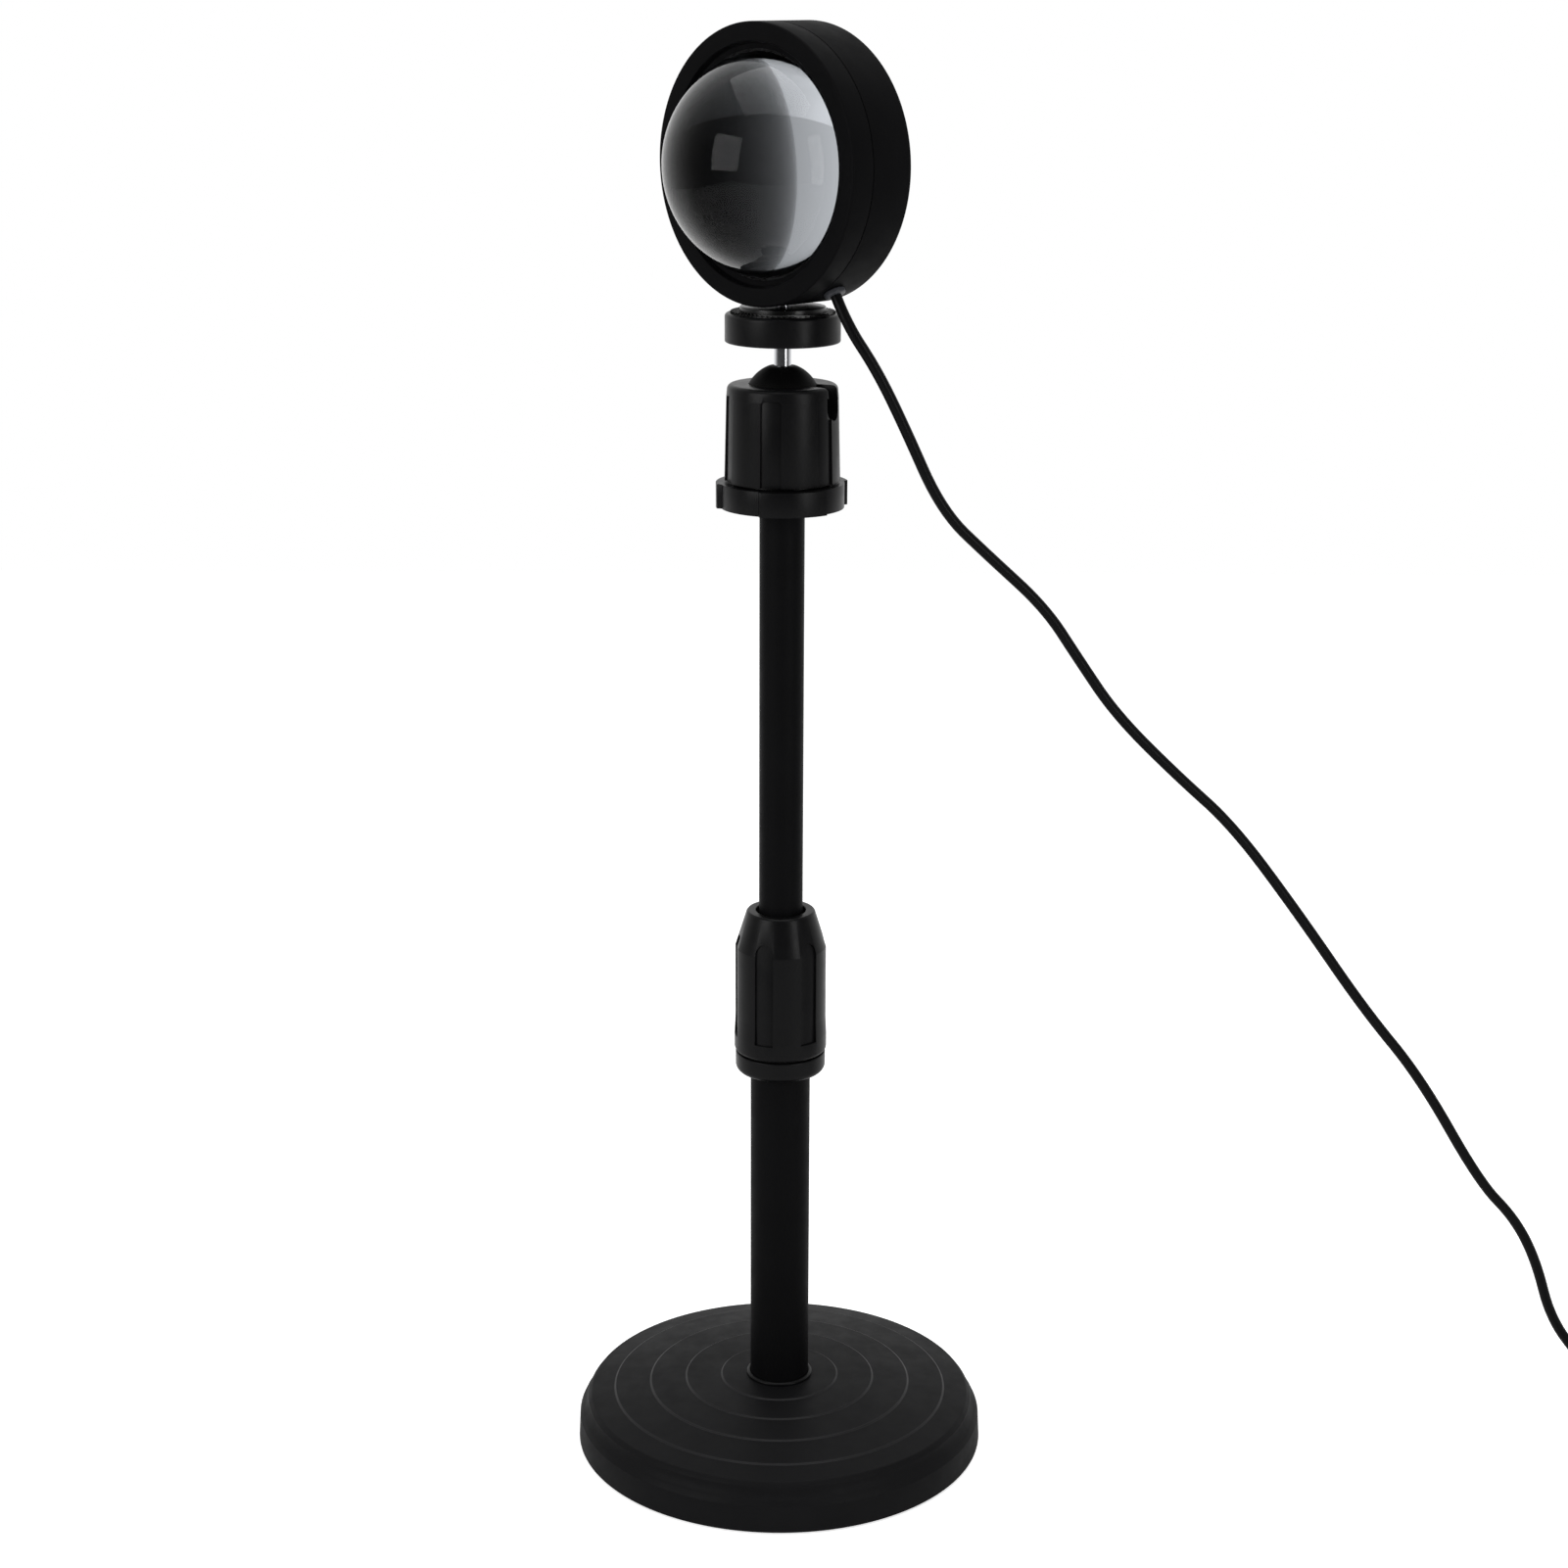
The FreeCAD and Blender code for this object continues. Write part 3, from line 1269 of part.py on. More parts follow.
def plug():
    """The power plug: a moulded body with a tapered relief, a folded metal shell and the tongue inside it."""
    level = size("plug_thickness") / 2
    x, y = PLUG_PLACE
    body_start = x - size("plug_relief_length")
    body_end = body_start - size("plug_length")
    handle = doc.addObject("Part::Box", "plug_handle")
    for edge, text in (("Length", "plug_length"), ("Width", "plug_width"), ("Height", "plug_thickness")):
        handle.setExpression(edge, bound(text))
    handle.Placement.Base = FreeCAD.Vector(body_end, y - size("plug_width") / 2, 0)
    doc.recompute()
    rounded = doc.addObject("Part::Fillet", "plug_handle_rounded")
    rounded.Base = handle
    round_over = size("plug_thickness") / 5
    rounded.Edges = [(i + 1, round_over, round_over) for i, _ in enumerate(handle.Shape.Edges)]
    relief = doc.addObject("Part::Cone", "plug_relief")
    relief.setExpression("Radius1", bound("cord_radius + fit_gap * 2"))
    relief.setExpression("Radius2", bound("plug_relief_radius"))
    relief.setExpression("Height", bound("plug_relief_length + plug_thickness / 4"))
    place_primitive(relief, (x, y, level), (-1, 0, 0))
    keep(fuse("plug_body", [rounded, relief]))

    shell = Part.makeBox(size("shell_length"), size("shell_width"), size("shell_thickness"))
    wall = size("shell_wall")
    hollow = Part.makeBox(size("shell_length"), size("shell_width") - 2 * wall,
                          size("shell_thickness") - 2 * wall, FreeCAD.Vector(0, wall, wall))
    shell_piece = doc.addObject("Part::Feature", "plug_shell")
    shell_piece.Shape = shell.cut(hollow)
    shell_piece.Placement.Base = FreeCAD.Vector(body_end - size("shell_length"), y - size("shell_width") / 2,
                                                level - size("shell_thickness") / 2)
    keep(shell_piece)

    tongue = doc.addObject("Part::Box", "plug_tongue")
    for edge, text in (("Length", "shell_length - fit_gap * 3"), ("Width", "tongue_width"),
                       ("Height", "tongue_thickness")):
        tongue.setExpression(edge, bound(text))
    tongue.Placement.Base = FreeCAD.Vector(
        body_end - size("shell_length - fit_gap * 3"), y - size("tongue_width") / 2,
        level - size("shell_thickness") / 2 + wall)
    keep(tongue)
    return FreeCAD.Vector(x, y, level)


def inner_lead():
    """The end of the lead inside the head, from the gland to the face of the light board."""
    side = gland_direction_in_head()
    level = size("board_front + cord_radius")
    exit_level = size("head_back - gland_setback")
    stops = [
        (size("head_radius + gland_proud - cord_end_gap"), exit_level),
        (size("head_radius - boss_depth"), exit_level),
        (size("board_radius + boss_depth / 2"), level),
        (size("holder_outer_radius + fit_gap * 4"), level),
    ]
    path, _ = rounded_path([tuple(HEAD_PLACE * (side * out + FreeCAD.Vector(0, 0, q))) for out, q in stops])
    piece = doc.addObject("Part::Feature", "lead_inner_end")
    piece.Shape = swept(path, LEAD_EXIT - GLAND_OUT * size("cord_end_gap"), GLAND_OUT)
    keep(piece)


def lead():
    """The whole lead: inside the head, free to the coil, wound, and free again to the plug."""
    inner_lead()
    begin, finish, wound = lead_coil()
    coil_tie()
    entry = plug()
    straight_out = LEAD_EXIT + GLAND_OUT * FIRST_RUN
    seen = free_lead("lead_free", [tuple(LEAD_EXIT), tuple(straight_out)] + LEAD_ROUTE + [tuple(begin)])
    tail = free_lead("lead_tail", [tuple(finish)] + TAIL_ROUTE + [tuple(entry)])
    print("whole lead", round(wound + seen + tail, 1))


base_cover()
base_weight()
base_plate()
foot_pad()
plate_screws()
base_bolt()
lower_tube()
lock_collet()
collar_nut()
upper_tube()
ball_housing()
lock_sleeve()
ball_and_stud()
rear_can()
front_ring()
lens()
lens_holders()
baffle()
light_source()
board_screws()
threaded_insert()
gland()
lead()
doc.recompute()

for thing in doc.Objects:
    faults = [s for s in thing.State if s in ("Invalid", "Error")]
    assert not faults, f"{thing.Label} is {faults}"
for node in nodes:
    assert not node.Shape.isNull() and node.Shape.isValid(), f"{node.Label} has no good shape"

os.makedirs("parts", exist_ok=True)
for node in nodes:
    node.Shape.exportStep(f"parts/{node.Label}.step")
print(len(nodes), "pieces")
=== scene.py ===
"""A sunset projection lamp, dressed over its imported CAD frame.

The CAD nodes stay where they are. Each visible one is either given a detailed finish, or hidden behind a
piece that is modelled here at the same place and size. Lengths are written in millimetres and turned into
metres where they meet Blender.
"""

import json
import logging
import math
from dataclasses import dataclass, field
from enum import Enum
from typing import Callable, Iterable, Optional, Sequence

import bpy
from mathutils import Matrix, Vector


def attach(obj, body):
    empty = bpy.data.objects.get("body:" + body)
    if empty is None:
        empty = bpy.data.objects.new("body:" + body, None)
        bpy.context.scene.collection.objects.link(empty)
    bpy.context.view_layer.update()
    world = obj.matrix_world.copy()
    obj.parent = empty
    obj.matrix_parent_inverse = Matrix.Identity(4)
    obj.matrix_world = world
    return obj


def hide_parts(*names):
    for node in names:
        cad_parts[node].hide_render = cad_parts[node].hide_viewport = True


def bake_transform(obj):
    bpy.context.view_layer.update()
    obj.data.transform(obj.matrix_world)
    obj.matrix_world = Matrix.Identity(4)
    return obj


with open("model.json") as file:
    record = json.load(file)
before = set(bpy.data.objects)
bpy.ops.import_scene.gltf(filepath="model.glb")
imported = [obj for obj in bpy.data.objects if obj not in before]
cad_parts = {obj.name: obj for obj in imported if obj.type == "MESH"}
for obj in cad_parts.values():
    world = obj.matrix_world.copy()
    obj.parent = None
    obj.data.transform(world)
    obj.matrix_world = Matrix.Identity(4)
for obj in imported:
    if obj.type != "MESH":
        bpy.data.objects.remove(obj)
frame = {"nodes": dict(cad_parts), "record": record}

log = logging.getLogger("lamp")

MM = 0.001
IMAGE_SIDE = 1601
FULL_TURN = 2 * math.pi
NODE_SPACING = 180            # between the nodes of a material
ARC_STEP = math.radians(12)   # about the turn between two points of a rounded corner
MOST_TRIM = 0.49              # of an edge, for the rounded corner at one end of it
WELD = 1e-6                   # metres, under which two corners are one
FLAT = 1e-5                   # metres, within which a corner is on a level
TOOL_REACH = 30.0             # how far out a cutting bar goes, past every skin
ARCH = 0.98                   # of half a bar's width, so that its two corners almost meet in an arch
BALL_CENTRE = (0.0, 394.0)    # on the pole's axis, and the level
SEAT_RADIUS = 13.28           # of the hollow that holds the ball
COIL_CENTRE = (349.0, -22.0)  # of the put-away turns, on the floor

Point = tuple[float, float]
Place = tuple[float, float, float]
Outline = tuple[tuple[float, ...], ...]   # radius, level and, at a rounded corner, the rounding


class Surface(Enum):
    """How a finish's surface is patterned."""

    POWDER = "powder coat"
    MOULDED = "injection moulding"
    POLISHED = "polishing"
    MACHINED = "turning"
    CAST = "sand casting"
    WOVEN = "weaving"
    FOAM = "foaming"
    CLEAR = "clear casting"


@dataclass(frozen=True)
class Finish:
    """One real finish, with its colour and how it takes light.

    Attributes:
        name: What the surface is and how it is made.
        colour: sRGB hex of the surface.
        surface: The process, which decides the pattern.
        roughness: Mean roughness.
        metal: 1 for bare metal.
        coat: Strength of a clear top layer.
        grain_mm: Size of the pattern's grain.
        relief_mm: Height of the grain.
        spread: How far roughness wanders from its mean.
        specular: Specular level.
        transmission: 1 for glass.
        ior: Index of refraction.
        mirror_tint: sRGB hex that dims or colours what the surface mirrors.
    """

    name: str
    colour: str
    surface: Surface
    roughness: float
    metal: float = 0.0
    coat: float = 0.0
    grain_mm: float = 0.5
    relief_mm: float = 0.01
    spread: float = 0.06
    specular: float = 0.5
    transmission: float = 0.0
    ior: float = 1.5
    mirror_tint: str = "#ffffff"


FINISHES: dict[str, Finish] = {
    # Powder coat: a dead even black whose fine orange peel softens what it mirrors.
    "coated_base": Finish("satin black powder coat on stamped steel", "#121213", Surface.POWDER, 0.50,
                          grain_mm=0.9, relief_mm=0.012, specular=0.06),
    # Along the upper edges of the base's steps the same coat is painted lighter, as a painted highlight where
    # those edges catch the light.
    "coated_edge": Finish("satin black powder coat burnished along an edge", "#1a1a1b", Surface.POWDER, 0.42,
                          grain_mm=0.9, relief_mm=0.006, specular=0.15),
    "coated_tube": Finish("smooth satin black enamel on steel tube", "#0b0b0c", Surface.POWDER, 0.50,
                          grain_mm=0.9, relief_mm=0.003, specular=0.04),
    "coated_head": Finish("fine matt black powder coat on aluminium", "#0b0b0c", Surface.POWDER, 0.55,
                          grain_mm=0.6, relief_mm=0.012, specular=0.03),
    # Moulded ABS: spark-eroded texture, so highlights are broad and grainy.
    "black_plastic": Finish("spark-eroded black ABS moulding", "#0b0b0c", Surface.MOULDED, 0.34,
                            grain_mm=0.5, relief_mm=0.012, specular=0.12),
    "inner_plastic": Finish("matt black ABS moulding", "#060606", Surface.MOULDED, 0.55, grain_mm=0.4,
                            specular=0.05),
    # Chrome plate: a near mirror, so it is as bright or dark as what stands round it.
    "bright_stem": Finish("polished chrome plate", "#dcdde0", Surface.POLISHED, 0.09, metal=1.0,
                          grain_mm=0.6, relief_mm=0.001, spread=0.03),
    # The lens's index is under crown glass's 1.52, so that its bright crescent starts where the real one does,
    # and its thin clear film dims what the dome mirrors.
    "optical_glass": Finish("polished crown glass with a clear film", "#c4c8cd", Surface.CLEAR, 0.0,
                            transmission=1.0, ior=1.34, mirror_tint="#8c8c8c"),
    "sunset_film": Finish("dyed clear polyester film", "#f07a2a", Surface.CLEAR, 0.05, transmission=1.0,
                          ior=1.45),
    "cast_weight": Finish("sand-cast grey iron", "#4a4a49", Surface.CAST, 0.7, metal=1.0, grain_mm=1.2,
                          relief_mm=0.12),
    "steel": Finish("zinc-plated steel", "#b4b6ba", Surface.MACHINED, 0.32, metal=1.0, grain_mm=0.3),
    "alloy": Finish("turned aluminium", "#c9cacc", Surface.MACHINED, 0.30, metal=1.0, grain_mm=0.3),
    # The ring behind the lens is coloured near black, as painted shade for the dark inside of the head.
    "retainer_painted_shade": Finish("black anodised turned aluminium", "#040404", Surface.MACHINED, 0.5, grain_mm=0.3,
                            specular=0.03),
    "board_white": Finish("white solder mask", "#e8e8e4", Surface.MOULDED, 0.35, grain_mm=1.5),
    "emitter_yellow": Finish("phosphor under clear resin", "#e6c23c", Surface.MOULDED, 0.25, coat=0.6),
    "brass_insert": Finish("turned brass", "#c9a24e", Surface.MACHINED, 0.28, metal=1.0),
    "pale_grommet": Finish("pale translucent nylon moulding", "#3c3d41", Surface.MOULDED, 0.42, grain_mm=0.5,
                           specular=0.2),
    # Rubber: matt, and its knurl catches the light only on its ridges.
    "black_rubber": Finish("matt black rubber moulding", "#090909", Surface.MOULDED, 0.28, grain_mm=0.3,
                           specular=0.3),
    "lead_jacket": Finish("extruded black vinyl jacket", "#0b0b0c", Surface.MOULDED, 0.36, grain_mm=0.8,
                          relief_mm=0.006, specular=0.08),
    "soft_foam": Finish("closed-cell black foam", "#19191a", Surface.FOAM, 0.85, grain_mm=0.8, relief_mm=0.1,
                        specular=0.2),
    "woven_strap": Finish("woven nylon loop strap", "#151515", Surface.WOVEN, 0.8, grain_mm=0.6, relief_mm=0.12,
                          specular=0.2),
    "plated_shell": Finish("nickel-plated pressed steel", "#c4c5c6", Surface.POLISHED, 0.2, metal=1.0,
                           relief_mm=0.002),
}


def linear(hex_colour: str) -> tuple[float, float, float, float]:
    """Turns an sRGB hex colour into Blender's linear one.

    Args:
        hex_colour: A colour such as #1a2b3c.

    Returns:
        Red, green and blue, and an alpha of 1.
    """
    channels = [int(hex_colour[i:i + 2], 16) / 255 for i in (1, 3, 5)]
    steps = [c / 12.92 if c <= 0.04045 else ((c + 0.055) / 1.055) ** 2.4 for c in channels]
    return (steps[0], steps[1], steps[2], 1.0)


def add_node(tree: bpy.types.NodeTree, kind: str, links: Optional[dict[str, object]] = None,
             **settings: object) -> bpy.types.Node:
    """Adds one node, sets it, and wires its inputs.

    Args:
        tree: The node tree.
        kind: The node's type name.
        links: Input name to a socket to wire in, or to a value to set.
        **settings: Attributes of the node.

    Returns:
        The new node.
    """
    node = tree.nodes.new(kind)
    node.location = (len(tree.nodes) * NODE_SPACING, 0)
    for key, value in settings.items():
        setattr(node, key, value)
    for name, value in (links or {}).items():
        if isinstance(value, bpy.types.NodeSocket):
            tree.links.new(value, node.inputs[name])
        else:
            node.inputs[name].default_value = value
    return node


class MaterialMaker:
    """Builds the node materials, one for each finish.

    Attributes:
        cloud_mm: Size of the blotches of slightly lighter and darker colour.
        cloud_tint: How much lighter and darker they are.
        handling_mm: Size of the patches that are a little smoother or rougher.
        noise_low: Where a noise pattern's lows lie.
        noise_high: Where its highs lie.
        bump_strength: Share of the grain's height that shows.
        coat_roughness: Roughness of a clear top layer.
    """

    cloud_mm: float = 22.0
    cloud_tint: float = 0.10
    handling_mm: float = 9.0
    noise_low: float = 0.3
    noise_high: float = 0.7
    bump_strength: float = 0.6
    coat_roughness: float = 0.08

    def __init__(self, finish: Finish) -> None:
        """Starts a material.

        Args:
            finish: What the material is to look like.
        """
        self.finish = finish
        self.material = bpy.data.materials.new(finish.name.replace(" ", "_")[:60])
        self.material.use_nodes = True
        self.tree = self.material.node_tree
        self.tree.nodes.clear()

    def add(self, kind: str, links: Optional[dict[str, object]] = None, **settings: object) -> bpy.types.Node:
        """Adds one node to this material."""
        return add_node(self.tree, kind, links, **settings)

    def coordinates(self) -> bpy.types.NodeSocket:
        """Object coordinates, so that a pattern has its real size."""
        return self.add("ShaderNodeTexCoord").outputs["Object"]

    def noise(self, size_mm: float, detail: float = 3.0, rough: float = 0.5) -> bpy.types.NodeSocket:
        """Noise whose blobs are about a size across.

        Args:
            size_mm: The blobs' size.
            detail: How many finer layers it has.
            rough: How strong the finer layers are.

        Returns:
            The pattern.
        """
        node = self.add("ShaderNodeTexNoise", {
            "Vector": self.coordinates(), "Scale": 1 / (size_mm * MM), "Detail": detail,
            "Roughness": rough})
        return node.outputs["Fac"]

    def spread(self, factor: bpy.types.NodeSocket, low: float, high: float) -> bpy.types.NodeSocket:
        """Maps a noise pattern onto a range, from low to high."""
        node = self.add("ShaderNodeMapRange", {
            "Value": factor, "From Min": self.noise_low, "From Max": self.noise_high, "To Min": low,
            "To Max": high})
        return node.outputs["Result"]

    def tint(self, factor: bpy.types.NodeSocket, amount: float) -> bpy.types.NodeSocket:
        """The finish's colour, a little lighter and darker with a pattern.

        Args:
            factor: The pattern.
            amount: How much lighter and darker.

        Returns:
            The colour.
        """
        base = linear(self.finish.colour)
        dark = tuple(c * (1 - amount) for c in base[:3]) + (1.0,)
        light = tuple(min(c * (1 + amount), 1.0) for c in base[:3]) + (1.0,)
        ramp = self.add("ShaderNodeValToRGB", {"Fac": factor})
        first, last = ramp.color_ramp.elements
        first.position, last.position = self.noise_low, self.noise_high
        first.color, last.color = dark, light
        return ramp.outputs["Color"]

    def weave(self) -> bpy.types.NodeSocket:
        """Two crossed thread waves.

        Returns:
            The pattern, high where threads cross.
        """
        where = self.coordinates()
        threads = [self.add("ShaderNodeTexWave", {"Vector": where, "Scale": 0.5 / (self.finish.grain_mm * MM),
                                                  "Distortion": 0.4},
                            wave_type="BANDS", bands_direction=side).outputs["Fac"] for side in ("Y", "Z")]
        return self.add("ShaderNodeMath", {0: threads[0], 1: threads[1]}, operation="MULTIPLY").outputs[0]

    def grain(self) -> bpy.types.NodeSocket:
        """The height pattern of the finish's process.

        Returns:
            The pattern.
        """
        finish = self.finish
        if finish.surface is Surface.WOVEN:
            return self.weave()
        if finish.surface in (Surface.FOAM, Surface.CAST):
            cells = self.add("ShaderNodeTexVoronoi", {"Vector": self.coordinates(),
                                                      "Scale": 1 / (finish.grain_mm * MM)})
            return cells.outputs["Distance"]
        if finish.surface is Surface.MACHINED:
            return self.add("ShaderNodeTexWave", {
                "Vector": self.coordinates(), "Scale": 0.5 / (finish.grain_mm * MM), "Distortion": 0.2},
                wave_type="RINGS", rings_direction="Z").outputs["Fac"]
        return self.noise(finish.grain_mm, detail=2.0)

    def build(self) -> bpy.types.Material:
        """Wires the whole material.

        Returns:
            The finished material.
        """
        finish = self.finish
        constants = {
            "Metallic": finish.metal, "IOR": finish.ior, "Specular IOR Level": finish.specular,
            "Coat Weight": finish.coat, "Coat Roughness": self.coat_roughness,
            "Transmission Weight": finish.transmission, "Specular Tint": linear(finish.mirror_tint),
        }
        shader = self.add("ShaderNodeBsdfPrincipled", constants)
        if finish.surface is Surface.CLEAR:
            shader.inputs["Base Color"].default_value = linear(finish.colour)
            shader.inputs["Roughness"].default_value = finish.roughness
        else:
            cloud = self.noise(self.cloud_mm, detail=4.0, rough=0.6)
            shade = self.tint(cloud, self.cloud_tint)
            self.tree.links.new(shade, shader.inputs["Base Color"])
            rough = self.spread(self.noise(self.handling_mm, detail=5.0, rough=0.65),
                                finish.roughness - finish.spread, finish.roughness + finish.spread)
            self.tree.links.new(rough, shader.inputs["Roughness"])
            bump = self.add("ShaderNodeBump", {"Height": self.grain(), "Strength": self.bump_strength,
                                               "Distance": finish.relief_mm * MM})
            self.tree.links.new(bump.outputs["Normal"], shader.inputs["Normal"])
        out = self.add("ShaderNodeOutputMaterial")
        self.tree.links.new(shader.outputs["BSDF"], out.inputs["Surface"])
        return self.material


class Palette:
    """Makes each material once and hands it out by its slot."""

    def __init__(self) -> None:
        """Builds every finish."""
        self.materials = {slot: MaterialMaker(finish).build() for slot, finish in FINISHES.items()}

    def dress_node(self, name: str, slot: str) -> None:
        """Gives a CAD node its finish.

        Args:
            name: The node.
            slot: The finish's key.
        """
        node = frame["nodes"][name]
        for place in node.material_slots:
            place.material = self.materials[slot]
        if not node.material_slots:
            node.data.materials.append(self.materials[slot])

    def dress(self, piece: bpy.types.Object, slot: str) -> None:
        """Gives a new piece its finish.

        Args:
            piece: The piece.
            slot: The finish's key, which is the record's slot too.
        """
        piece.data.materials.clear()
        piece.data.materials.append(self.materials[slot])


def arc(centre: Point, radius: float, start: float, end: float, steps: int) -> list[Point]:
    """Points on a circle's arc in a profile, with angles in degrees from outwards, up positive."""
    turns = [math.radians(start + (end - start) * i / steps) for i in range(steps + 1)]
    return [(centre[0] + radius * math.cos(t), centre[1] + radius * math.sin(t)) for t in turns]


def rounded(corners: Sequence[tuple[float, ...]], closed: bool = True) -> list[Point]:
    """A profile with its corners rounded.

    Args:
        corners: Radius, level and, where the corner is rounded, the rounding's size.
        closed: Whether the last corner joins the first.

    Returns:
        The profile's points.
    """
    points: list[Point] = []
    count = len(corners)
    for i, corner in enumerate(corners):
        here = Vector(corner[:2])
        size = corner[2] if len(corner) > 2 else 0.0
        inner = closed or 0 < i < count - 1
        if not size or not inner:
            points.append((here.x, here.y))
            continue
        back = Vector(corners[i - 1][:2]) - here
        on = Vector(corners[(i + 1) % count][:2]) - here
        half = back.angle(on) / 2
        trim = min(size / math.tan(half), MOST_TRIM * back.length, MOST_TRIM * on.length)
        back, on = back.normalized(), on.normalized()
        radius = trim * math.tan(half)
        centre = here + (back + on).normalized() * (radius / math.sin(half))
        start, end = here + back * trim - centre, here + on * trim - centre
        turn = start.angle_signed(end)
        steps = max(3, round(abs(turn) / ARC_STEP))
        for k in range(steps + 1):
            spoke = start.copy()
            spoke.rotate(Matrix.Rotation(-turn * k / steps, 2))
            points.append((centre.x + spoke.x, centre.y + spoke.y))
    return points


class Shop:
    """The modelling moves that every sub-assembly shares."""

    @staticmethod
    def clear() -> None:
        """Leaves edit mode and selects nothing."""
        if bpy.context.object and bpy.context.object.mode != "OBJECT":
            bpy.ops.object.mode_set(mode="OBJECT")
        bpy.ops.object.select_all(action="DESELECT")

    @staticmethod
    def pick(piece: bpy.types.Object) -> None:
        """Selects one piece alone and makes it active.

        Args:
            piece: The piece.
        """
        Shop.clear()
        piece.select_set(True)
        bpy.context.view_layer.objects.active = piece

    @staticmethod
    def edit(piece: bpy.types.Object) -> None:
        """Opens one piece in edit mode with nothing selected.

        Args:
            piece: The piece.
        """
        Shop.pick(piece)
        bpy.ops.object.mode_set(mode="EDIT")
        bpy.ops.mesh.select_all(action="DESELECT")

    @staticmethod
    def choose_faces(piece: bpy.types.Object, wanted: Callable[[bpy.types.MeshPolygon], bool]) -> None:
        """Selects the faces that a test picks, and opens edit mode in face mode.

        Args:
            piece: The mesh.
            wanted: The test of one face.
        """
        Shop.edit(piece)
        bpy.ops.mesh.select_mode(type="FACE")
        bpy.ops.object.mode_set(mode="OBJECT")
        for face in piece.data.polygons:
            face.select = wanted(face)
        bpy.ops.object.mode_set(mode="EDIT")

    @staticmethod
    def choose_edges(piece: bpy.types.Object, wanted: Callable[[Vector, Vector], bool]) -> None:
        """Selects the edges whose two ends pass a test, and opens edit mode in edge mode.

        Args:
            piece: The mesh.
            wanted: The test of one edge's two ends.
        """
        Shop.edit(piece)
        bpy.ops.mesh.select_mode(type="EDGE")
        bpy.ops.object.mode_set(mode="OBJECT")
        places = piece.data.vertices
        for edge in piece.data.edges:
            edge.select = wanted(places[edge.vertices[0]].co, places[edge.vertices[1]].co)
        bpy.ops.object.mode_set(mode="EDIT")

    @staticmethod
    def lathe(name: str, profile: Sequence[Point], steps: int = 128, closed: bool = True) -> bpy.types.Object:
        """Spins a profile about Z.

        Args:
            name: The piece's name.
            profile: Radius and level of each point, in millimetres.
            steps: Divisions round the axis.
            closed: Whether the last point joins the first; otherwise both lie on the axis.

        Returns:
            The piece, at the origin.
        """
        route = [Vector((r * MM, 0, z * MM)) for r, z in profile]
        if closed:
            route.append(route[0].copy())
        Shop.clear()
        bpy.ops.mesh.primitive_circle_add(vertices=3, radius=MM)
        piece = bpy.context.object
        piece.name = piece.data.name = name
        bpy.ops.object.mode_set(mode="EDIT")
        bpy.ops.mesh.select_mode(type="VERT")
        bpy.ops.mesh.select_all(action="SELECT")
        bpy.ops.mesh.merge(type="CENTER")
        bpy.ops.transform.translate(value=route[0])
        for here, after in zip(route, route[1:]):
            bpy.ops.mesh.extrude_region_move(TRANSFORM_OT_translate={"value": after - here})
        bpy.ops.mesh.select_all(action="SELECT")
        bpy.ops.mesh.spin(steps=steps, angle=FULL_TURN, center=(0, 0, 0), axis=(0, 0, 1))
        bpy.ops.mesh.select_all(action="SELECT")
        bpy.ops.mesh.remove_doubles(threshold=WELD)
        bpy.ops.mesh.normals_make_consistent(inside=False)
        Shop.clear()
        return piece

    @staticmethod
    def block(name: str, low: Place, high: Place) -> bpy.types.Object:
        """A box as a start for shaping.

        Args:
            name: The piece's name.
            low: Its lowest corner, in millimetres.
            high: Its highest corner.

        Returns:
            The box, at the origin.
        """
        Shop.clear()
        middle = [(a + b) / 2 * MM for a, b in zip(low, high)]
        size = [(b - a) * MM for a, b in zip(low, high)]
        bpy.ops.mesh.primitive_cube_add(size=1, location=middle, scale=size)
        piece = bpy.context.object
        piece.name = piece.data.name = name
        Shop.settle(piece)
        return piece

    @staticmethod
    def arched_bar(name: str, half: float, span: Point, corner: float, segments: int,
                   inner: float = -2.0, low_end: bool = False) -> bpy.types.Object:
        """A bar that points to the front, with its top or bottom rounded into an arch.

        Args:
            name: The piece's name.
            half: Half its width, in millimetres.
            span: Its lowest and highest level.
            corner: The rounding of its two long edges.
            segments: Steps in each rounding.
            inner: Where it ends, next to the axis.
            low_end: Whether the arch is at the bottom.

        Returns:
            The bar.
        """
        bar = Shop.block(name, (-half, -TOOL_REACH, span[0]), (half, inner, span[1]))
        level = span[0 if low_end else 1] * MM
        Shop.choose_edges(bar, lambda a, b: abs(a.z - level) < FLAT and abs(b.z - level) < FLAT
                          and abs(a.y - b.y) > MM)
        bpy.ops.mesh.bevel(offset=corner * MM, offset_type="OFFSET", segments=segments, affect="EDGES")
        Shop.clear()
        return bar

    @staticmethod
    def settle(piece: bpy.types.Object) -> None:
        """Puts a piece's place, turn and size into its mesh."""
        Shop.pick(piece)
        bpy.ops.object.transform_apply(location=True, rotation=True, scale=True)

    @staticmethod
    def move(piece: bpy.types.Object, matrix: Matrix) -> bpy.types.Object:
        """Moves a piece by a matrix, for good.

        Args:
            piece: The piece.
            matrix: The move.

        Returns:
            The piece.
        """
        piece.matrix_world = matrix
        Shop.settle(piece)
        return piece

    @staticmethod
    def copy(piece: bpy.types.Object, name: str, matrix: Matrix) -> bpy.types.Object:
        """A moved copy with its own mesh.

        Args:
            piece: What is copied.
            name: The copy's name.
            matrix: The copy's move from the piece.

        Returns:
            The copy.
        """
        Shop.pick(piece)
        bpy.ops.object.duplicate(linked=False)
        double = bpy.context.object
        double.name = double.data.name = name
        return Shop.move(double, matrix)

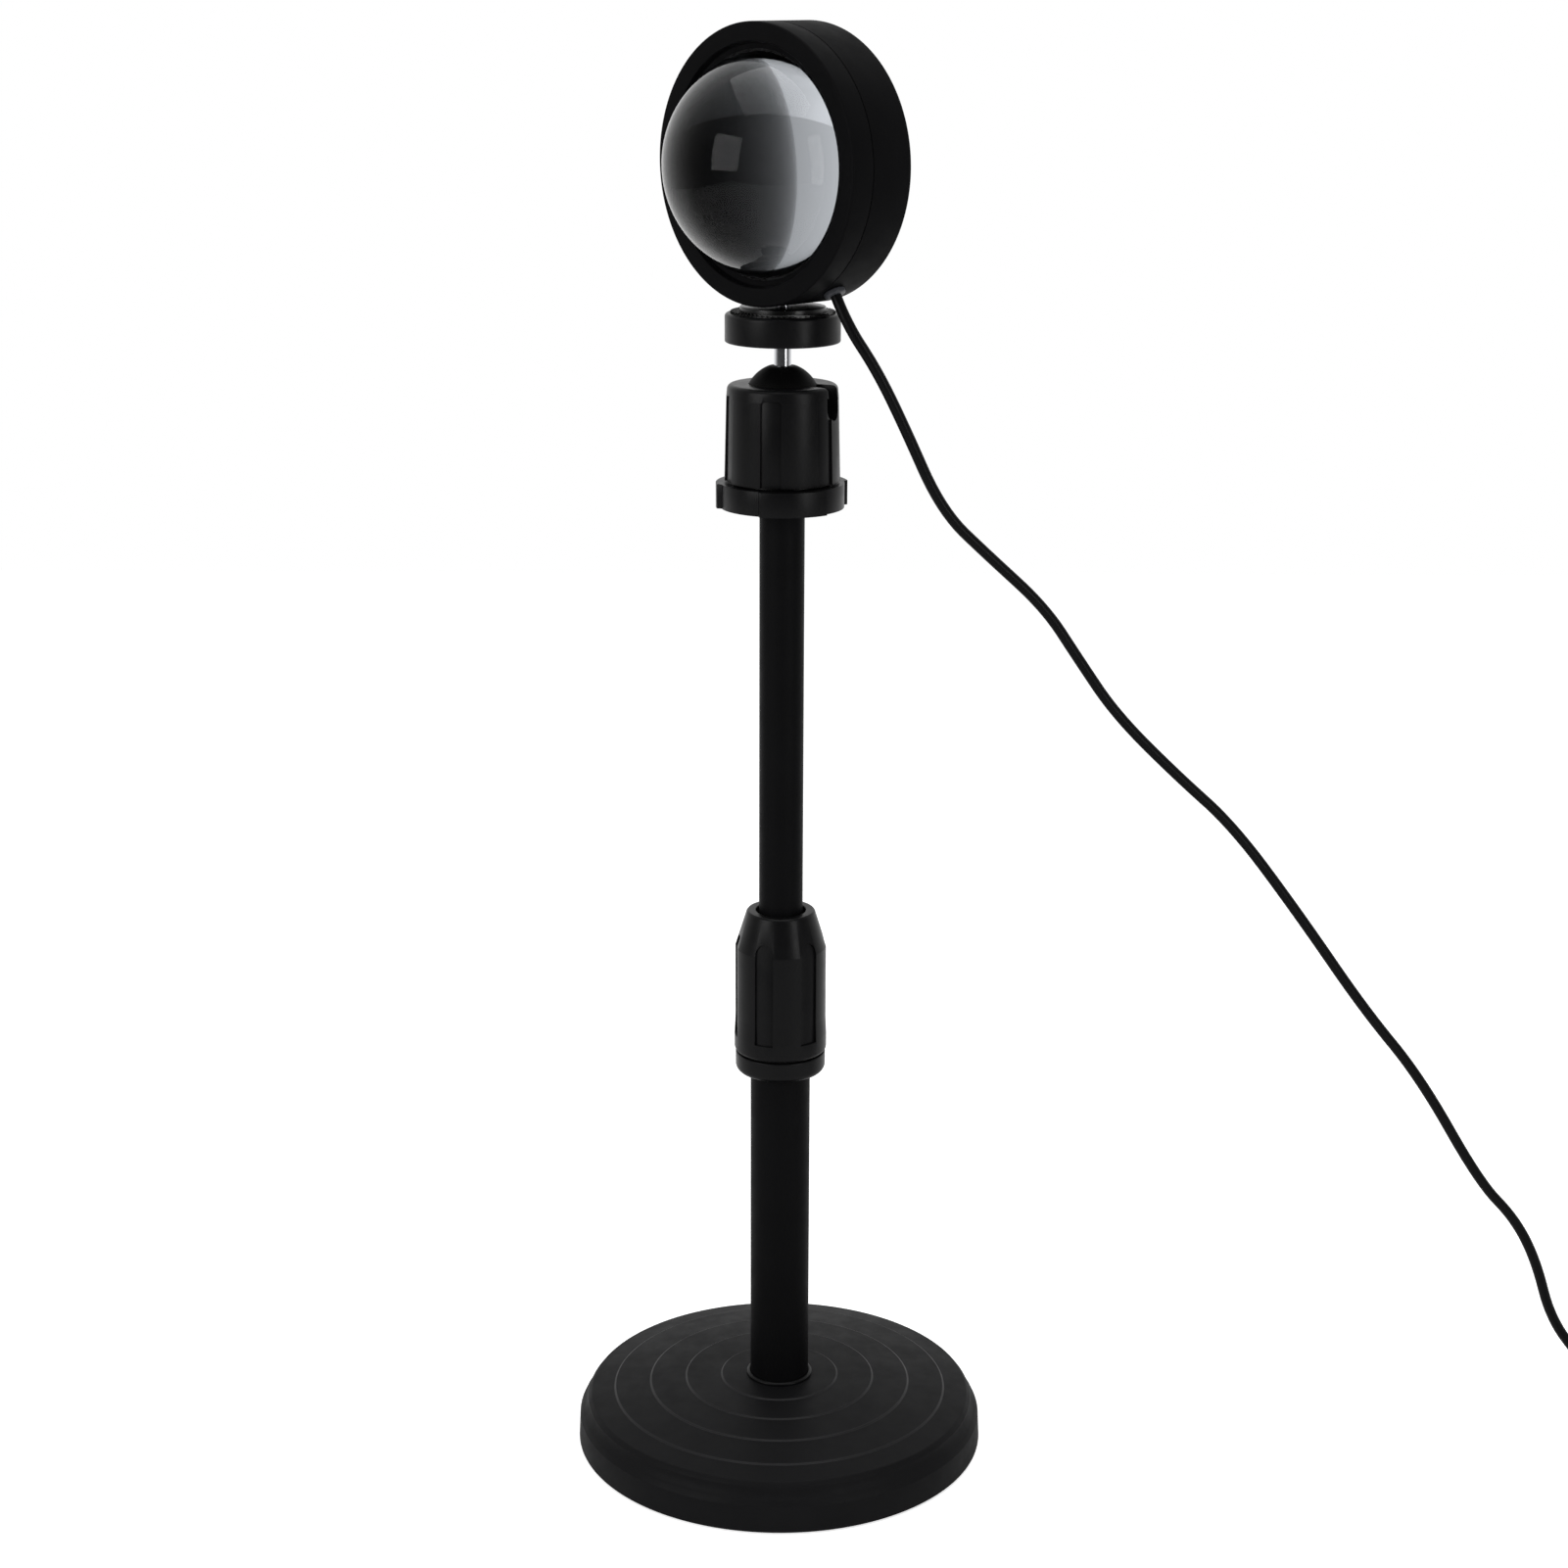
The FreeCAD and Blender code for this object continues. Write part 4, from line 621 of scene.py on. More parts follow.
    @staticmethod
    def join(pieces: Sequence[bpy.types.Object]) -> bpy.types.Object:
        """Joins pieces into the first.

        Args:
            pieces: The pieces.

        Returns:
            The first, which now holds them all.
        """
        Shop.pick(pieces[0])
        for piece in pieces[1:]:
            piece.select_set(True)
        bpy.ops.object.join()
        return pieces[0]

    @staticmethod
    def around(piece: bpy.types.Object, count: int) -> bpy.types.Object:
        """Repeats a piece evenly about Z, up to a count, and joins the copies."""
        rest = [Shop.copy(piece, f"{piece.name}_{i}", Matrix.Rotation(FULL_TURN * i / count, 4, "Z"))
                for i in range(1, count)]
        return Shop.join([piece] + rest)

    @staticmethod
    def apply(piece: bpy.types.Object, kind: str, **settings: object) -> None:
        """Adds a modifier, sets it and applies it.

        Args:
            piece: The mesh.
            kind: The modifier's type name.
            **settings: Attributes of the modifier.
        """
        Shop.pick(piece)
        modifier = piece.modifiers.new(kind.lower(), kind)
        for key, value in settings.items():
            setattr(modifier, key, value)
        bpy.ops.object.modifier_apply(modifier=modifier.name)

    @staticmethod
    def combine(piece: bpy.types.Object, tool: bpy.types.Object, operation: str = "DIFFERENCE") -> None:
        """Cuts a tool out of a piece, or joins or crosses the two, and removes the tool."""
        Shop.apply(piece, "BOOLEAN", object=tool, operation=operation, solver="EXACT")
        bpy.data.objects.remove(tool, do_unlink=True)

    @staticmethod
    def soften(piece: bpy.types.Object, width_mm: float, segments: int = 3, angle: float = 30) -> None:
        """Rounds a piece's edges that are sharper than an angle in degrees."""
        Shop.apply(piece, "BEVEL", width=width_mm * MM, segments=segments, limit_method="ANGLE",
                   angle_limit=math.radians(angle), use_clamp_overlap=True, miter_outer="MITER_ARC")

    @staticmethod
    def smooth(piece: bpy.types.Object, angle: float) -> None:
        """Shades a piece smooth.

        Args:
            piece: The mesh.
            angle: Edges sharper than this stay sharp, in degrees.
        """
        Shop.pick(piece)
        bpy.ops.object.shade_smooth_by_angle(angle=math.radians(angle))
        Shop.clear()


@dataclass
class SubAssembly:
    """A group of pieces that rides on one CAD body.

    Each group's sizes are in millimetres. An outline holds radii, levels and roundings, and takes what it
    shares with others from the sizes above it.

    Attributes:
        palette: Where the finishes come from.
        body: The CAD body.
        made: The pieces so far.
    """

    palette: Palette
    body: str
    made: list[bpy.types.Object] = field(default_factory=list)

    def hand_over(self, piece: bpy.types.Object, slot: str, *nodes: str, smooth: float = 32) -> None:
        """Finishes a piece: shading, finish, the nodes it stands for, and the body it rides on.

        Args:
            piece: The piece.
            slot: Its finish's key.
            *nodes: The CAD nodes that it replaces.
            smooth: The angle up to which it is shaded smooth, in degrees.
        """
        Shop.smooth(piece, smooth)
        self.palette.dress(piece, slot)
        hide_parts(*nodes)
        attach(piece, self.body)
        self.made.append(piece)
        log.info("%s: %d faces", piece.name, len(piece.data.polygons))

    def build(self) -> None:
        """Makes every piece of the group."""
        raise NotImplementedError


@dataclass
class Base(SubAssembly):
    """The weighted round base, the fixed tube, its foot ring and the collet in its mouth.

    Attributes:
        steps: Radius and level of each step's upper edge.
        shoulder: The corner where the last step turns down.
        cove_top: Where the slope under it meets the cove.
        cove_span: The cove's arc, in degrees.
        cove_level: Below this the arc is the skin.
        lip: The corner at the top of the rim.
        underside: The cover's inner line, from the rim in to the bore.
        burnished: Inner and outer radius of the step edges that are painted lighter, as a painted highlight.
        highlight_level: The lowest of them.
        highlight_rise: How nearly up such an edge faces, at least and at most.
        foot_ring: The ring where the tube meets the cover.
        collet: The ring under the nut, and the split fingers above it.
    """

    radius: float = 76.0
    top: float = 25.0
    bore: float = 3.3
    foot: float = 0.8
    edge: float = 0.5
    steps: tuple[Point, ...] = ((21.6, 24.9), (35.0, 24.2), (48.5, 22.8), (62.0, 20.7))
    step_drop: float = 0.45
    shoulder: tuple[float, ...] = (71.0, 18.7, 1.4)
    cove_top: Point = (72.3, 17.6)
    cove_centre: Point = (79.33, 17.92)
    cove_radius: float = 7.03
    cove_span: Point = (182.6, 228.0)
    cove_level: float = 17.4
    cove_foot: Point = (74.9, 11.6)
    lip: tuple[float, ...] = (75.5, 10.9, 0.5)
    underside: Outline = ((74.0, foot), (73.5, 9.9), (70.3, 15.6), (62.0, 18.25), (48.5, 20.35), (35.0, 21.75),
                          (17.0, 23.0), (bore, 23.0))
    # Where the steps' edges get the lighter coat that paints their highlight.
    burnished: Point = (20.0, 64.0)
    highlight_level: float = 19.0
    highlight_rise: Point = (0.5, 0.985)
    tube_radius: float = 10.9
    tube_bore: float = 9.7
    tube_top: float = 160.0
    tube_edge: float = 0.3
    foot_ring: Outline = ((11.05, top), (12.3, top, 0.2), (12.3, top + 0.8, 0.45), (11.7, top + 1.3, 0.3),
                          (11.05, top + 1.3, 0.2))
    finger_radius: float = 13.2
    finger_bore: float = 7.98
    collet: Outline = ((tube_radius, 148.3), (16.4, 148.3, 4.0), (16.4, 156.0, 0.4), (finger_radius, 156.0),
                       (finger_radius, 186.0), (10.4, 204.5, 0.3), (finger_bore, 204.5),
                       (finger_bore, tube_top), (tube_radius, tube_top))
    fingers: int = 4
    slit_half: float = 0.8
    slit_span: Point = (176.0, 206.0)
    slit_depth: float = 17.0

    def cover_profile(self) -> list[Point]:
        """The cover from the centre out over its steps, down the cove to the rim, and back underneath.

        Returns:
            The profile's points.
        """
        corners: list[tuple[float, ...]] = [(self.bore, self.top)]
        for r, z in self.steps:
            corners += [(r, z, self.edge), (r + self.step_drop, z - self.step_drop, self.edge)]
        outer = rounded(corners + [self.shoulder, self.cove_top], closed=False)
        cove = arc(self.cove_centre, self.cove_radius, *self.cove_span, 10)
        rim = rounded([self.cove_foot, self.lip, (self.radius, self.foot, self.edge), *self.underside],
                      closed=False)
        return outer[:-1] + [p for p in cove if p[1] < self.cove_level] + rim[1:]

    def build(self) -> None:
        """Makes the cover, the tube, its foot ring and the collet."""
        cover = Shop.lathe("base_shell", self.cover_profile(), steps=224)
        self.hand_over(cover, "coated_base", "base_cover", smooth=24)
        # The step edges get a lighter copy of the coat: a painted highlight.
        self.burnish(cover)
        tube = Shop.lathe("fixed_tube", rounded([
            (self.tube_bore, self.top), (self.tube_radius, self.top),
            (self.tube_radius, self.tube_top, self.tube_edge),
            (self.tube_bore, self.tube_top, self.tube_edge)]), steps=96)
        self.hand_over(tube, "coated_tube", "lower_tube")
        ring = Shop.lathe("tube_foot_ring", rounded(self.foot_ring), steps=96)
        self.hand_over(ring, "black_plastic", "foot_ring")
        collet = Shop.lathe("collet_ring", rounded(self.collet), steps=128)
        slit = Shop.block("slit_tool", (-self.slit_half, -self.slit_depth, self.slit_span[0]),
                          (self.slit_half, 0.0, self.slit_span[1]))
        Shop.combine(collet, Shop.around(slit, self.fingers))
        self.hand_over(collet, "black_plastic", "lock_collet")

    def burnish(self, cover: bpy.types.Object) -> None:
        """Paints the upward-facing edges of the steps with a lighter coat, as a painted highlight.

        Args:
            cover: The finished cover.
        """
        cover.data.materials.append(self.palette.materials["coated_edge"])
        inner, outer = (r * MM for r in self.burnished)
        least, most = self.highlight_rise
        Shop.choose_faces(cover, lambda f: least < f.normal.z < most and f.center.z > self.highlight_level * MM
                          and inner < f.center.xy.length < outer)
        cover.active_material_index = 1
        bpy.ops.object.material_slot_assign()
        Shop.clear()


@dataclass
class TwistCollar(SubAssembly):
    """The ribbed nut that locks the pole.

    Attributes:
        skin: The nut's outside, from its bottom up to its mouth.
        inside: Its bore and its inner cone, from the mouth down.
        core_bottom: Where the core that stops the panels' depth starts, below the nut.
        cone_base: Where that core's cone starts.
    """

    turn: float = -21.6
    bottom: float = 156.6
    top: float = 209.9
    radius: float = 16.5
    foot_radius: float = 16.8
    mouth: Point = (12.45, 209.3)
    bore: float = 9.1
    hollow: float = 13.28
    skin: Outline = ((16.2, bottom, 0.3), (foot_radius, 157.6, 0.8), (foot_radius, 163.0, 2.0),
                     (radius, 169.6, 2.0), (radius, 196.2, 1.2), (*mouth, 0.6), (11.9, top, 0.3))
    inside: Outline = ((bore, top, 0.3), (bore, 205.3), (10.8, 205.3), (hollow, 186.4), (hollow, bottom, 0.2))
    panels: int = 6
    panel_half: float = 3.5
    panel_span: Point = (162.6, 200.8)
    panel_depth: float = 0.7
    core_bottom: float = 150.0
    cone_base: float = 196.0
    softening: float = 0.28

    def build(self) -> None:
        """Makes the skin and sinks the arched panels into it."""
        nut = Shop.lathe("twist_nut", rounded(self.skin + self.inside), steps=192)
        core_radius, level = self.radius - self.panel_depth, self.mouth[1]
        core = Shop.lathe("nut_core_tool", [
            (core_radius, self.core_bottom), (core_radius, self.cone_base),
            (self.mouth[0] - self.panel_depth, level), (0, level), (0, self.core_bottom)], steps=192)
        panel = Shop.arched_bar("panel_tool", self.panel_half, self.panel_span, self.panel_half * ARCH, 12)
        Shop.combine(panel, core)
        Shop.combine(nut, Shop.around(panel, self.panels))
        Shop.soften(nut, self.softening, angle=34)
        Shop.move(nut, Matrix.Rotation(math.radians(self.turn), 4, "Z"))
        self.hand_over(nut, "black_plastic", "collar_nut", smooth=30)


@dataclass
class Mast(SubAssembly):
    """The sliding tube and the fixed half of the ball joint.

    Attributes:
        seat_span: The arc of the ball's seat, in degrees.
        lug_start: How far from the axis a lug's block starts.
        lug_tool_span: Lowest and highest level of the block that cuts a lug out of a disc.
    """

    tube_radius: float = 7.9
    tube_bore: float = 6.9
    tube_bottom: float = 140.0
    tube_top: float = 362.0
    screw_radius: float = 3.15
    flange_radius: float = 21.6
    flange_bottom: float = 357.5
    flange_top: float = 366.0
    neck_radius: float = 16.8
    neck_top: float = 389.0
    seat_span: Point = (-22.1, -76.3)
    lugs: int = 3
    lug_radius: float = 23.1
    lug_half: float = 11.8
    lug_start: float = 17.5
    lug_tool_span: Point = (350.0, 370.0)
    lug_turn: float = -79.0
    softening: float = 0.35

    def build(self) -> None:
        """Makes the tube, and the flange with its lugs."""
        tube = Shop.lathe("sliding_tube", rounded([
            (self.tube_bore, self.tube_bottom), (self.tube_radius, self.tube_bottom),
            (self.tube_radius, self.tube_top), (self.tube_bore, self.tube_top)]), steps=96)
        self.hand_over(tube, "coated_tube", "upper_tube")
        bottom, top = self.flange_bottom, self.flange_top
        housing = Shop.lathe("joint_flange", rounded([
            (self.tube_radius, bottom), (self.flange_radius, bottom), (self.flange_radius, top),
            (self.neck_radius, top), (self.neck_radius, self.neck_top)])
            + arc(BALL_CENTRE, SEAT_RADIUS, *self.seat_span, 20)
            + [(self.screw_radius, self.tube_top), (self.tube_radius, self.tube_top)], steps=144)
        lug = Shop.lathe("lug_tool", [
            (0, bottom), (self.lug_radius, bottom), (self.lug_radius, top), (0, top)], steps=144)
        side = Shop.block("lug_side_tool", (self.lug_start, -self.lug_half, self.lug_tool_span[0]),
                          (TOOL_REACH, self.lug_half, self.lug_tool_span[1]))
        Shop.combine(lug, side, "INTERSECT")
        Shop.combine(housing, Shop.around(lug, self.lugs), "UNION")
        Shop.soften(housing, self.softening, angle=34)
        Shop.move(housing, Matrix.Rotation(math.radians(self.lug_turn), 4, "Z"))
        self.hand_over(housing, "black_plastic", "ball_housing", smooth=30)


@dataclass
class Sleeve(SubAssembly):
    """The ribbed locking sleeve with its slot.

    Attributes:
        skin: The outside, up over the shoulder to the ball's opening.
        seat_start: Where the arc of the ball's seat starts, in degrees.
        cavity: The hollow under the ball's seat, down to the sleeve's foot.
        core: The sleeve's outside before the panels' depth is taken off it.
    """

    turn: float = 66.0
    foot: float = 366.9
    foot_radius: float = 20.1
    neck: Point = (19.4, 395.9)
    top: float = 400.2
    bore: float = 16.88
    seat_foot: float = 389.45
    seat_start: float = 27.8
    skin: Outline = ((foot_radius, foot, 0.25), (*neck, 0.1), (19.0, top, 3.9), (15.6, top), (12.2, top))
    cavity: tuple[Point, ...] = ((SEAT_RADIUS, seat_foot), (bore, seat_foot), (bore, foot))
    core: tuple[Point, ...] = ((foot_radius, 360.0), neck, (18.3, 398.8))
    panel_turn: float = -77.7
    panels: int = 6
    panel_half: float = 3.65
    panel_span: Point = (360.5, 396.6)
    panel_corner: float = 1.6
    depth: float = 0.6
    slot_half: float = 3.9
    slot_span: Point = (388.6, 410.0)
    softening: float = 0.28

    def build(self) -> None:
        """Makes the skin, sinks the panels and cuts the slot."""
        seat = arc(BALL_CENTRE, SEAT_RADIUS, self.seat_start, 0, 8)
        sleeve = Shop.lathe("ribbed_sleeve", rounded(self.skin, closed=False)[:-1] + seat + list(self.cavity),
                            steps=192)
        core = Shop.lathe("sleeve_core_tool", [(r - self.depth, z) for r, z in self.core]
                          + [(0, self.core[-1][1]), (0, self.core[0][1])], steps=192)
        panel = Shop.arched_bar("rib_tool", self.panel_half, self.panel_span, self.panel_corner, 6)
        Shop.combine(panel, core)
        Shop.move(panel, Matrix.Rotation(math.radians(self.panel_turn), 4, "Z"))
        Shop.combine(sleeve, Shop.around(panel, self.panels))
        slot = Shop.arched_bar("slot_tool", self.slot_half, self.slot_span, self.slot_half * ARCH, 10,
                               inner=0.0, low_end=True)
        Shop.combine(sleeve, slot)
        Shop.soften(sleeve, self.softening, angle=34)
        Shop.move(sleeve, Matrix.Rotation(math.radians(self.turn), 4, "Z"))
        self.hand_over(sleeve, "black_plastic", "lock_sleeve", smooth=30)


@dataclass
class BallStud(SubAssembly):
    """The ball, the bright stem and the locking disc with its ribbed grip.

    Attributes:
        ball_span: The arc of the ball's skin, in degrees.
        ball_foot: The flat under the ball.
        ball_head: Where the stem enters the ball.
        hole_bottom: How deep the stem sits in it.
        stem_end: The screw end above the disc.
        pad: The grip: a rubber pad, and the thin rim round it that carries the ribs.
        rib_taper: How much shorter and narrower a rib is at its crest.
        rib_slant: How far a rib leans from straight out, in degrees.
    """

    ball_radius: float = 13.2
    ball_span: Point = (-76.0, 68.5)
    ball_foot: float = 381.2
    ball_head: float = 406.3
    hole_bottom: float = 384.0
    stem_radius: float = 3.0
    screw_radius: float = 3.1
    stem_top: float = 434.0
    disc_radius: float = 19.9
    disc_bottom: float = 414.5
    disc_top: float = 424.4
    stem_end: Outline = ((screw_radius, disc_top), (screw_radius, 433.4, 0.2), (2.6, stem_top, 0.2))
    disc: Outline = ((stem_radius, disc_bottom), (disc_radius, disc_bottom, 0.6), (disc_radius, disc_top, 1.2),
                     (stem_radius, disc_top))
    rim_radius: float = 17.4
    pad: Outline = ((screw_radius, disc_top), (rim_radius, disc_top), (rim_radius, 424.75, 0.15),
                    (14.8, 424.75), (14.8, 426.7, 0.4), (screw_radius, 426.7))
    rib_inner: float = 14.6
    rib_half: float = 0.28
    rib_span: Point = (424.6, 425.2)
    rib_taper: Point = (0.9, 0.35)
    rib_slant: float = 48.0
    ribs: int = 60

    def build(self) -> None:
        """Makes the ball, the stem, the disc and the grip."""
        ball = Shop.lathe("joint_ball", [(0, self.ball_foot)]
                          + arc(BALL_CENTRE, self.ball_radius, *self.ball_span, 48)
                          + [(self.stem_radius, self.ball_head), (self.stem_radius, self.hole_bottom),
                             (0, self.hole_bottom)], steps=128)
        self.hand_over(ball, "inner_plastic", "ball")
        stem = Shop.lathe("bright_stem", [(0, self.hole_bottom)] + rounded([
            (self.stem_radius, self.hole_bottom), (self.stem_radius, self.disc_top), *self.stem_end],
            closed=False) + [(0, self.stem_top)], steps=96, closed=False)
        self.hand_over(stem, "bright_stem", "stud")
        wheel = Shop.lathe("locking_wheel", rounded(self.disc), steps=192)
        self.hand_over(wheel, "black_plastic", "locking_disc")
        self.grip()

    def grip(self) -> None:
        """Makes the rubber pad and its rim of slanted ribs."""
        grip = Shop.lathe("knurled_grip", rounded(self.pad), steps=96)
        length = self.rim_radius - self.rib_inner
        low, high = self.rib_span
        rib = Shop.block("grip_rib", (-length, -self.rib_half, low), (length, self.rib_half, high))
        Shop.choose_faces(rib, lambda f: f.normal.z > 0.9)
        bpy.ops.transform.resize(value=(*self.rib_taper, 1.0), center_override=(0, 0, high * MM))
        Shop.clear()
        middle = (self.rim_radius + self.rib_inner) / 2
        Shop.move(rib, Matrix.Translation((middle * MM, 0, 0))
                  @ Matrix.Rotation(math.radians(self.rib_slant), 4, "Z"))
        Shop.join([grip, Shop.around(rib, self.ribs)])
        self.hand_over(grip, "black_rubber", "grip_pad", smooth=25)


@dataclass
class Head(SubAssembly):
    """The round head: rear can, front ring, lens and the grommet.

    Attributes:
        level: The head's middle above the floor.
        back: How far the can's back is behind the stem's axis.
        turn: Which way the lens faces, in degrees about the stem.
        seam: Where the can ends and the front ring begins, from the can's back.
        lens_rim: How far the lens's rim reaches forward.
        can: The rear can, from its back's middle to its bore.
        bezel: The front ring, round its section.
        lens_foot: The lens's flat back and its rim.
        dome_start: Where the dome starts, in degrees.
        grommet_section: The grommet along the lead, from the inside out.
        grommet_side: Where the lead leaves, in degrees from straight down.
        grommet_back: How far behind the stem's axis that is.
    """

    level: float = 474.05
    back: float = 13.4
    turn: float = -45.5
    radius: float = 46.75
    depth: float = 27.6
    seam: float = 18.1
    seam_half: float = 0.125
    can_bore: float = 44.45
    can_wall: float = 3.0
    can: Outline = ((0, 0), (radius, 0, 0.9), (radius, seam - seam_half, 0.25), (can_bore, seam - seam_half),
                    (can_bore, can_wall), (0, can_wall))
    dome_centre: Point = (0, 17.5)
    dome_radius: float = 37.9
    dome_start: float = 10.95
    lens_rim: float = 24.7
    lens_foot: tuple[Point, ...] = ((0, 21.5), (38.4, 21.5), (38.4, lens_rim))
    bezel: Outline = ((42.15, 13.8), (44.3, 13.8), (44.3, seam + seam_half), (radius, seam + seam_half, 0.25),
                      (radius, depth, 0.8), (40.4, depth, 0.35), (39.8, 25.3, 0.4), (dome_radius, 24.9, 0.1),
                      (dome_radius, lens_rim), (38.55, lens_rim), (38.55, 20.8), (42.15, 20.8))
    grommet_section: Outline = ((1.95, -3.75), (3.7, -3.75), (3.7, -2.6), (2.9, -2.6), (2.9, 0.15),
                                (3.7, 0.15, 0.2), (3.7, 1.6, 0.5), (2.9, 1.9, 0.3), (1.95, 1.9))
    grommet_side: float = 30.0
    grommet_back: float = 1.0

    def frame_matrix(self) -> Matrix:
        """The head's own frame: lens on Z, top on Y."""
        turn = Matrix.Rotation(math.radians(self.turn), 4, "Z") @ Matrix.Rotation(math.radians(90), 4, "X")
        return Matrix.Translation((0, 0, self.level * MM)) @ turn @ Matrix.Translation((0, 0, -self.back * MM))

    def spun(self, name: str, profile: Sequence[Point], slot: str, node: str, steps: int = 224,
             closed: bool = True) -> None:
        """Spins a piece in the head's frame and hands it over.

        Args:
            name: The piece's name.
            profile: Its section in the head's frame.
            slot: Its finish's key.
            node: The CAD node that it replaces.
            steps: Divisions round the axis.
            closed: Whether the last point joins the first.
        """
        piece = Shop.lathe(name, profile, steps, closed)
        Shop.move(piece, self.frame_matrix())
        self.hand_over(piece, slot, node)

    def build(self) -> None:
        """Makes the visible shells, the lens and the grommet."""
        self.spun("head_can", rounded(self.can), "coated_head", "rear_can")
        self.spun("head_bezel", rounded(self.bezel), "coated_head", "front_ring")
        dome = arc(self.dome_centre, self.dome_radius, self.dome_start, 90, 72)
        top = (0.0, self.dome_centre[1] + self.dome_radius)
        self.spun("glass_lens", list(self.lens_foot) + dome[:-1] + [top], "optical_glass", "lens", steps=256,
                  closed=False)
        self.grommet()

    def grommet(self) -> None:
        """Makes the grommet where the lead leaves."""
        side = math.radians(self.grommet_side)
        spoke = Vector((math.sin(side), -math.cos(side), 0))
        out = self.frame_matrix().to_3x3() @ spoke
        inset = Vector((0, 0, self.back - self.grommet_back))
        seat = self.frame_matrix() @ ((spoke * self.radius + inset) * MM)
        grommet = Shop.lathe("pale_grommet", rounded(self.grommet_section), steps=64)
        Shop.move(grommet, Matrix.Translation(seat) @ out.to_track_quat("Z", "Y").to_matrix().to_4x4())
        self.hand_over(grommet, "pale_grommet", "lead_gland")


@dataclass
class Lead:
    """The lead: one smooth line from the head to the plug, cut where it passes from body to body.

    Attributes:
        palette: Where the finishes come from.
        diameter: The jacket's diameter in millimetres.
        route: Points from the grommet to the coil.
        tail: Points from the coil to the plug.
        inner: Radius of the innermost turn.
        pitch: From one turn to the next, and from the lower layer to the upper.
        low: Level of the lower layer.
        turns_in: Turns on the lower layer, wound inwards.
        turns_out: Turns on the upper layer, wound outwards.
        climb_turns: Over how much of a turn the line climbs a layer.
        per_turn: Points in each turn.
        cuts: Distances along the line where one stretch ends and the next begins.
        bodies: What each stretch starts on, in order along the line; not used.
    """

    palette: Palette
    diameter: float = 3.9
    route: tuple[Place, ...] = (
        (17.76, -16.65, 431.92), (21.4, -20.4, 422.9), (31.5, -21.5, 408.0), (41.0, -20.0, 389.0),
        (54.5, -16.0, 359.0), (71.5, -13.0, 342.5), (91.5, -10.0, 324.0), (104.0, -8.0, 305.0),
        (118.0, -6.0, 284.5), (141.0, -4.0, 261.5), (162.0, -2.0, 242.5), (188.0, 0.0, 208.0),
        (214.0, 2.0, 171.0), (236.5, 4.0, 144.0), (262.0, 6.0, 101.0), (276.5, 7.0, 86.0),
        (286.0, 7.5, 68.5), (293.5, 8.0, 44.0), (307.0, 8.3, 26.5), (316.5, 8.4, 12.5), (327.0, 8.2, 4.2),
        (336.5, 7.5, 2.65), (345.1, 7.5, 2.65),
    )
    tail: tuple[Place, ...] = (
        (379.6, -37.0, 6.3), (376.5, -49.0, 5.0), (368.5, -59.5, 4.2), (355.5, -65.5, 4.0), (336.0, -66.0, 4.0),
    )
    inner: float = 16.0
    pitch: float = 4.5
    low: float = 2.65
    turns_in: float = 3.0
    turns_out: float = 3.25
    climb_turns: float = 0.5
    per_turn: int = 16
    cuts: tuple[float, ...] = (53.0, 140.0, 345.0, 552.0)
    bodies: tuple[str, ...] = ("head", "ball_stud", "sleeve", "mast", "base")

    def coil(self) -> list[Place]:
        """The wound turns: in on the lower layer, up a step, and out on the upper one.

        Returns:
            The points, in order along the line.
        """
        places: list[Place] = []
        count = round((self.turns_in + self.turns_out) * self.per_turn)
        for i in range(count + 1):
            along = i / self.per_turn - self.turns_in
            radius = self.inner + self.pitch * abs(along)
            climb = min(max((along + self.climb_turns / 2) / self.climb_turns, 0.0), 1.0)
            angle = math.pi / 2 - (along + self.turns_in) * FULL_TURN
            places.append((COIL_CENTRE[0] + radius * math.cos(angle), COIL_CENTRE[1] + radius * math.sin(angle),
                           self.low + self.pitch * climb * climb * (3 - 2 * climb)))
        return places

    def line(self) -> bpy.types.Object:
        """The lead's own smooth line.

        Returns:
            A curve with no thickness.
        """
        coil = self.coil()
        straight = (coil[-1][0], coil[-1][1] - self.diameter, coil[-1][2])
        places = list(self.route) + coil + [straight] + list(self.tail)
        curve = bpy.data.curves.new("lead_line", "CURVE")
        curve.dimensions = "3D"
        spline = curve.splines.new("NURBS")
        spline.points.add(len(places) - 1)
        for point, place in zip(spline.points, places):
            point.co = (*(Vector(place) * MM), 1)
        spline.order_u = 3
        spline.use_endpoint_u = True
        curve.resolution_u = 8
        piece = bpy.data.objects.new("lead_line", curve)
        bpy.context.scene.collection.objects.link(piece)
        return piece

    @staticmethod
    def stretch(tube: bpy.types.Object, name: str, first: int, beyond: int) -> bpy.types.Object:
        """Copies one stretch of the tube.

        Args:
            tube: The whole tube.
            name: The stretch's name.
            first: Its first vertex.
            beyond: The vertex after its last.

        Returns:
            The stretch, shaded smooth.
        """
        piece = Shop.copy(tube, name, Matrix.Identity(4))
        Shop.edit(piece)
        bpy.ops.mesh.select_mode(type="VERT")
        bpy.ops.object.mode_set(mode="OBJECT")
        for vertex in piece.data.vertices:
            vertex.select = not first <= vertex.index < beyond
        bpy.ops.object.mode_set(mode="EDIT")
        bpy.ops.mesh.delete(type="VERT")
        Shop.smooth(piece, 60)
        return piece

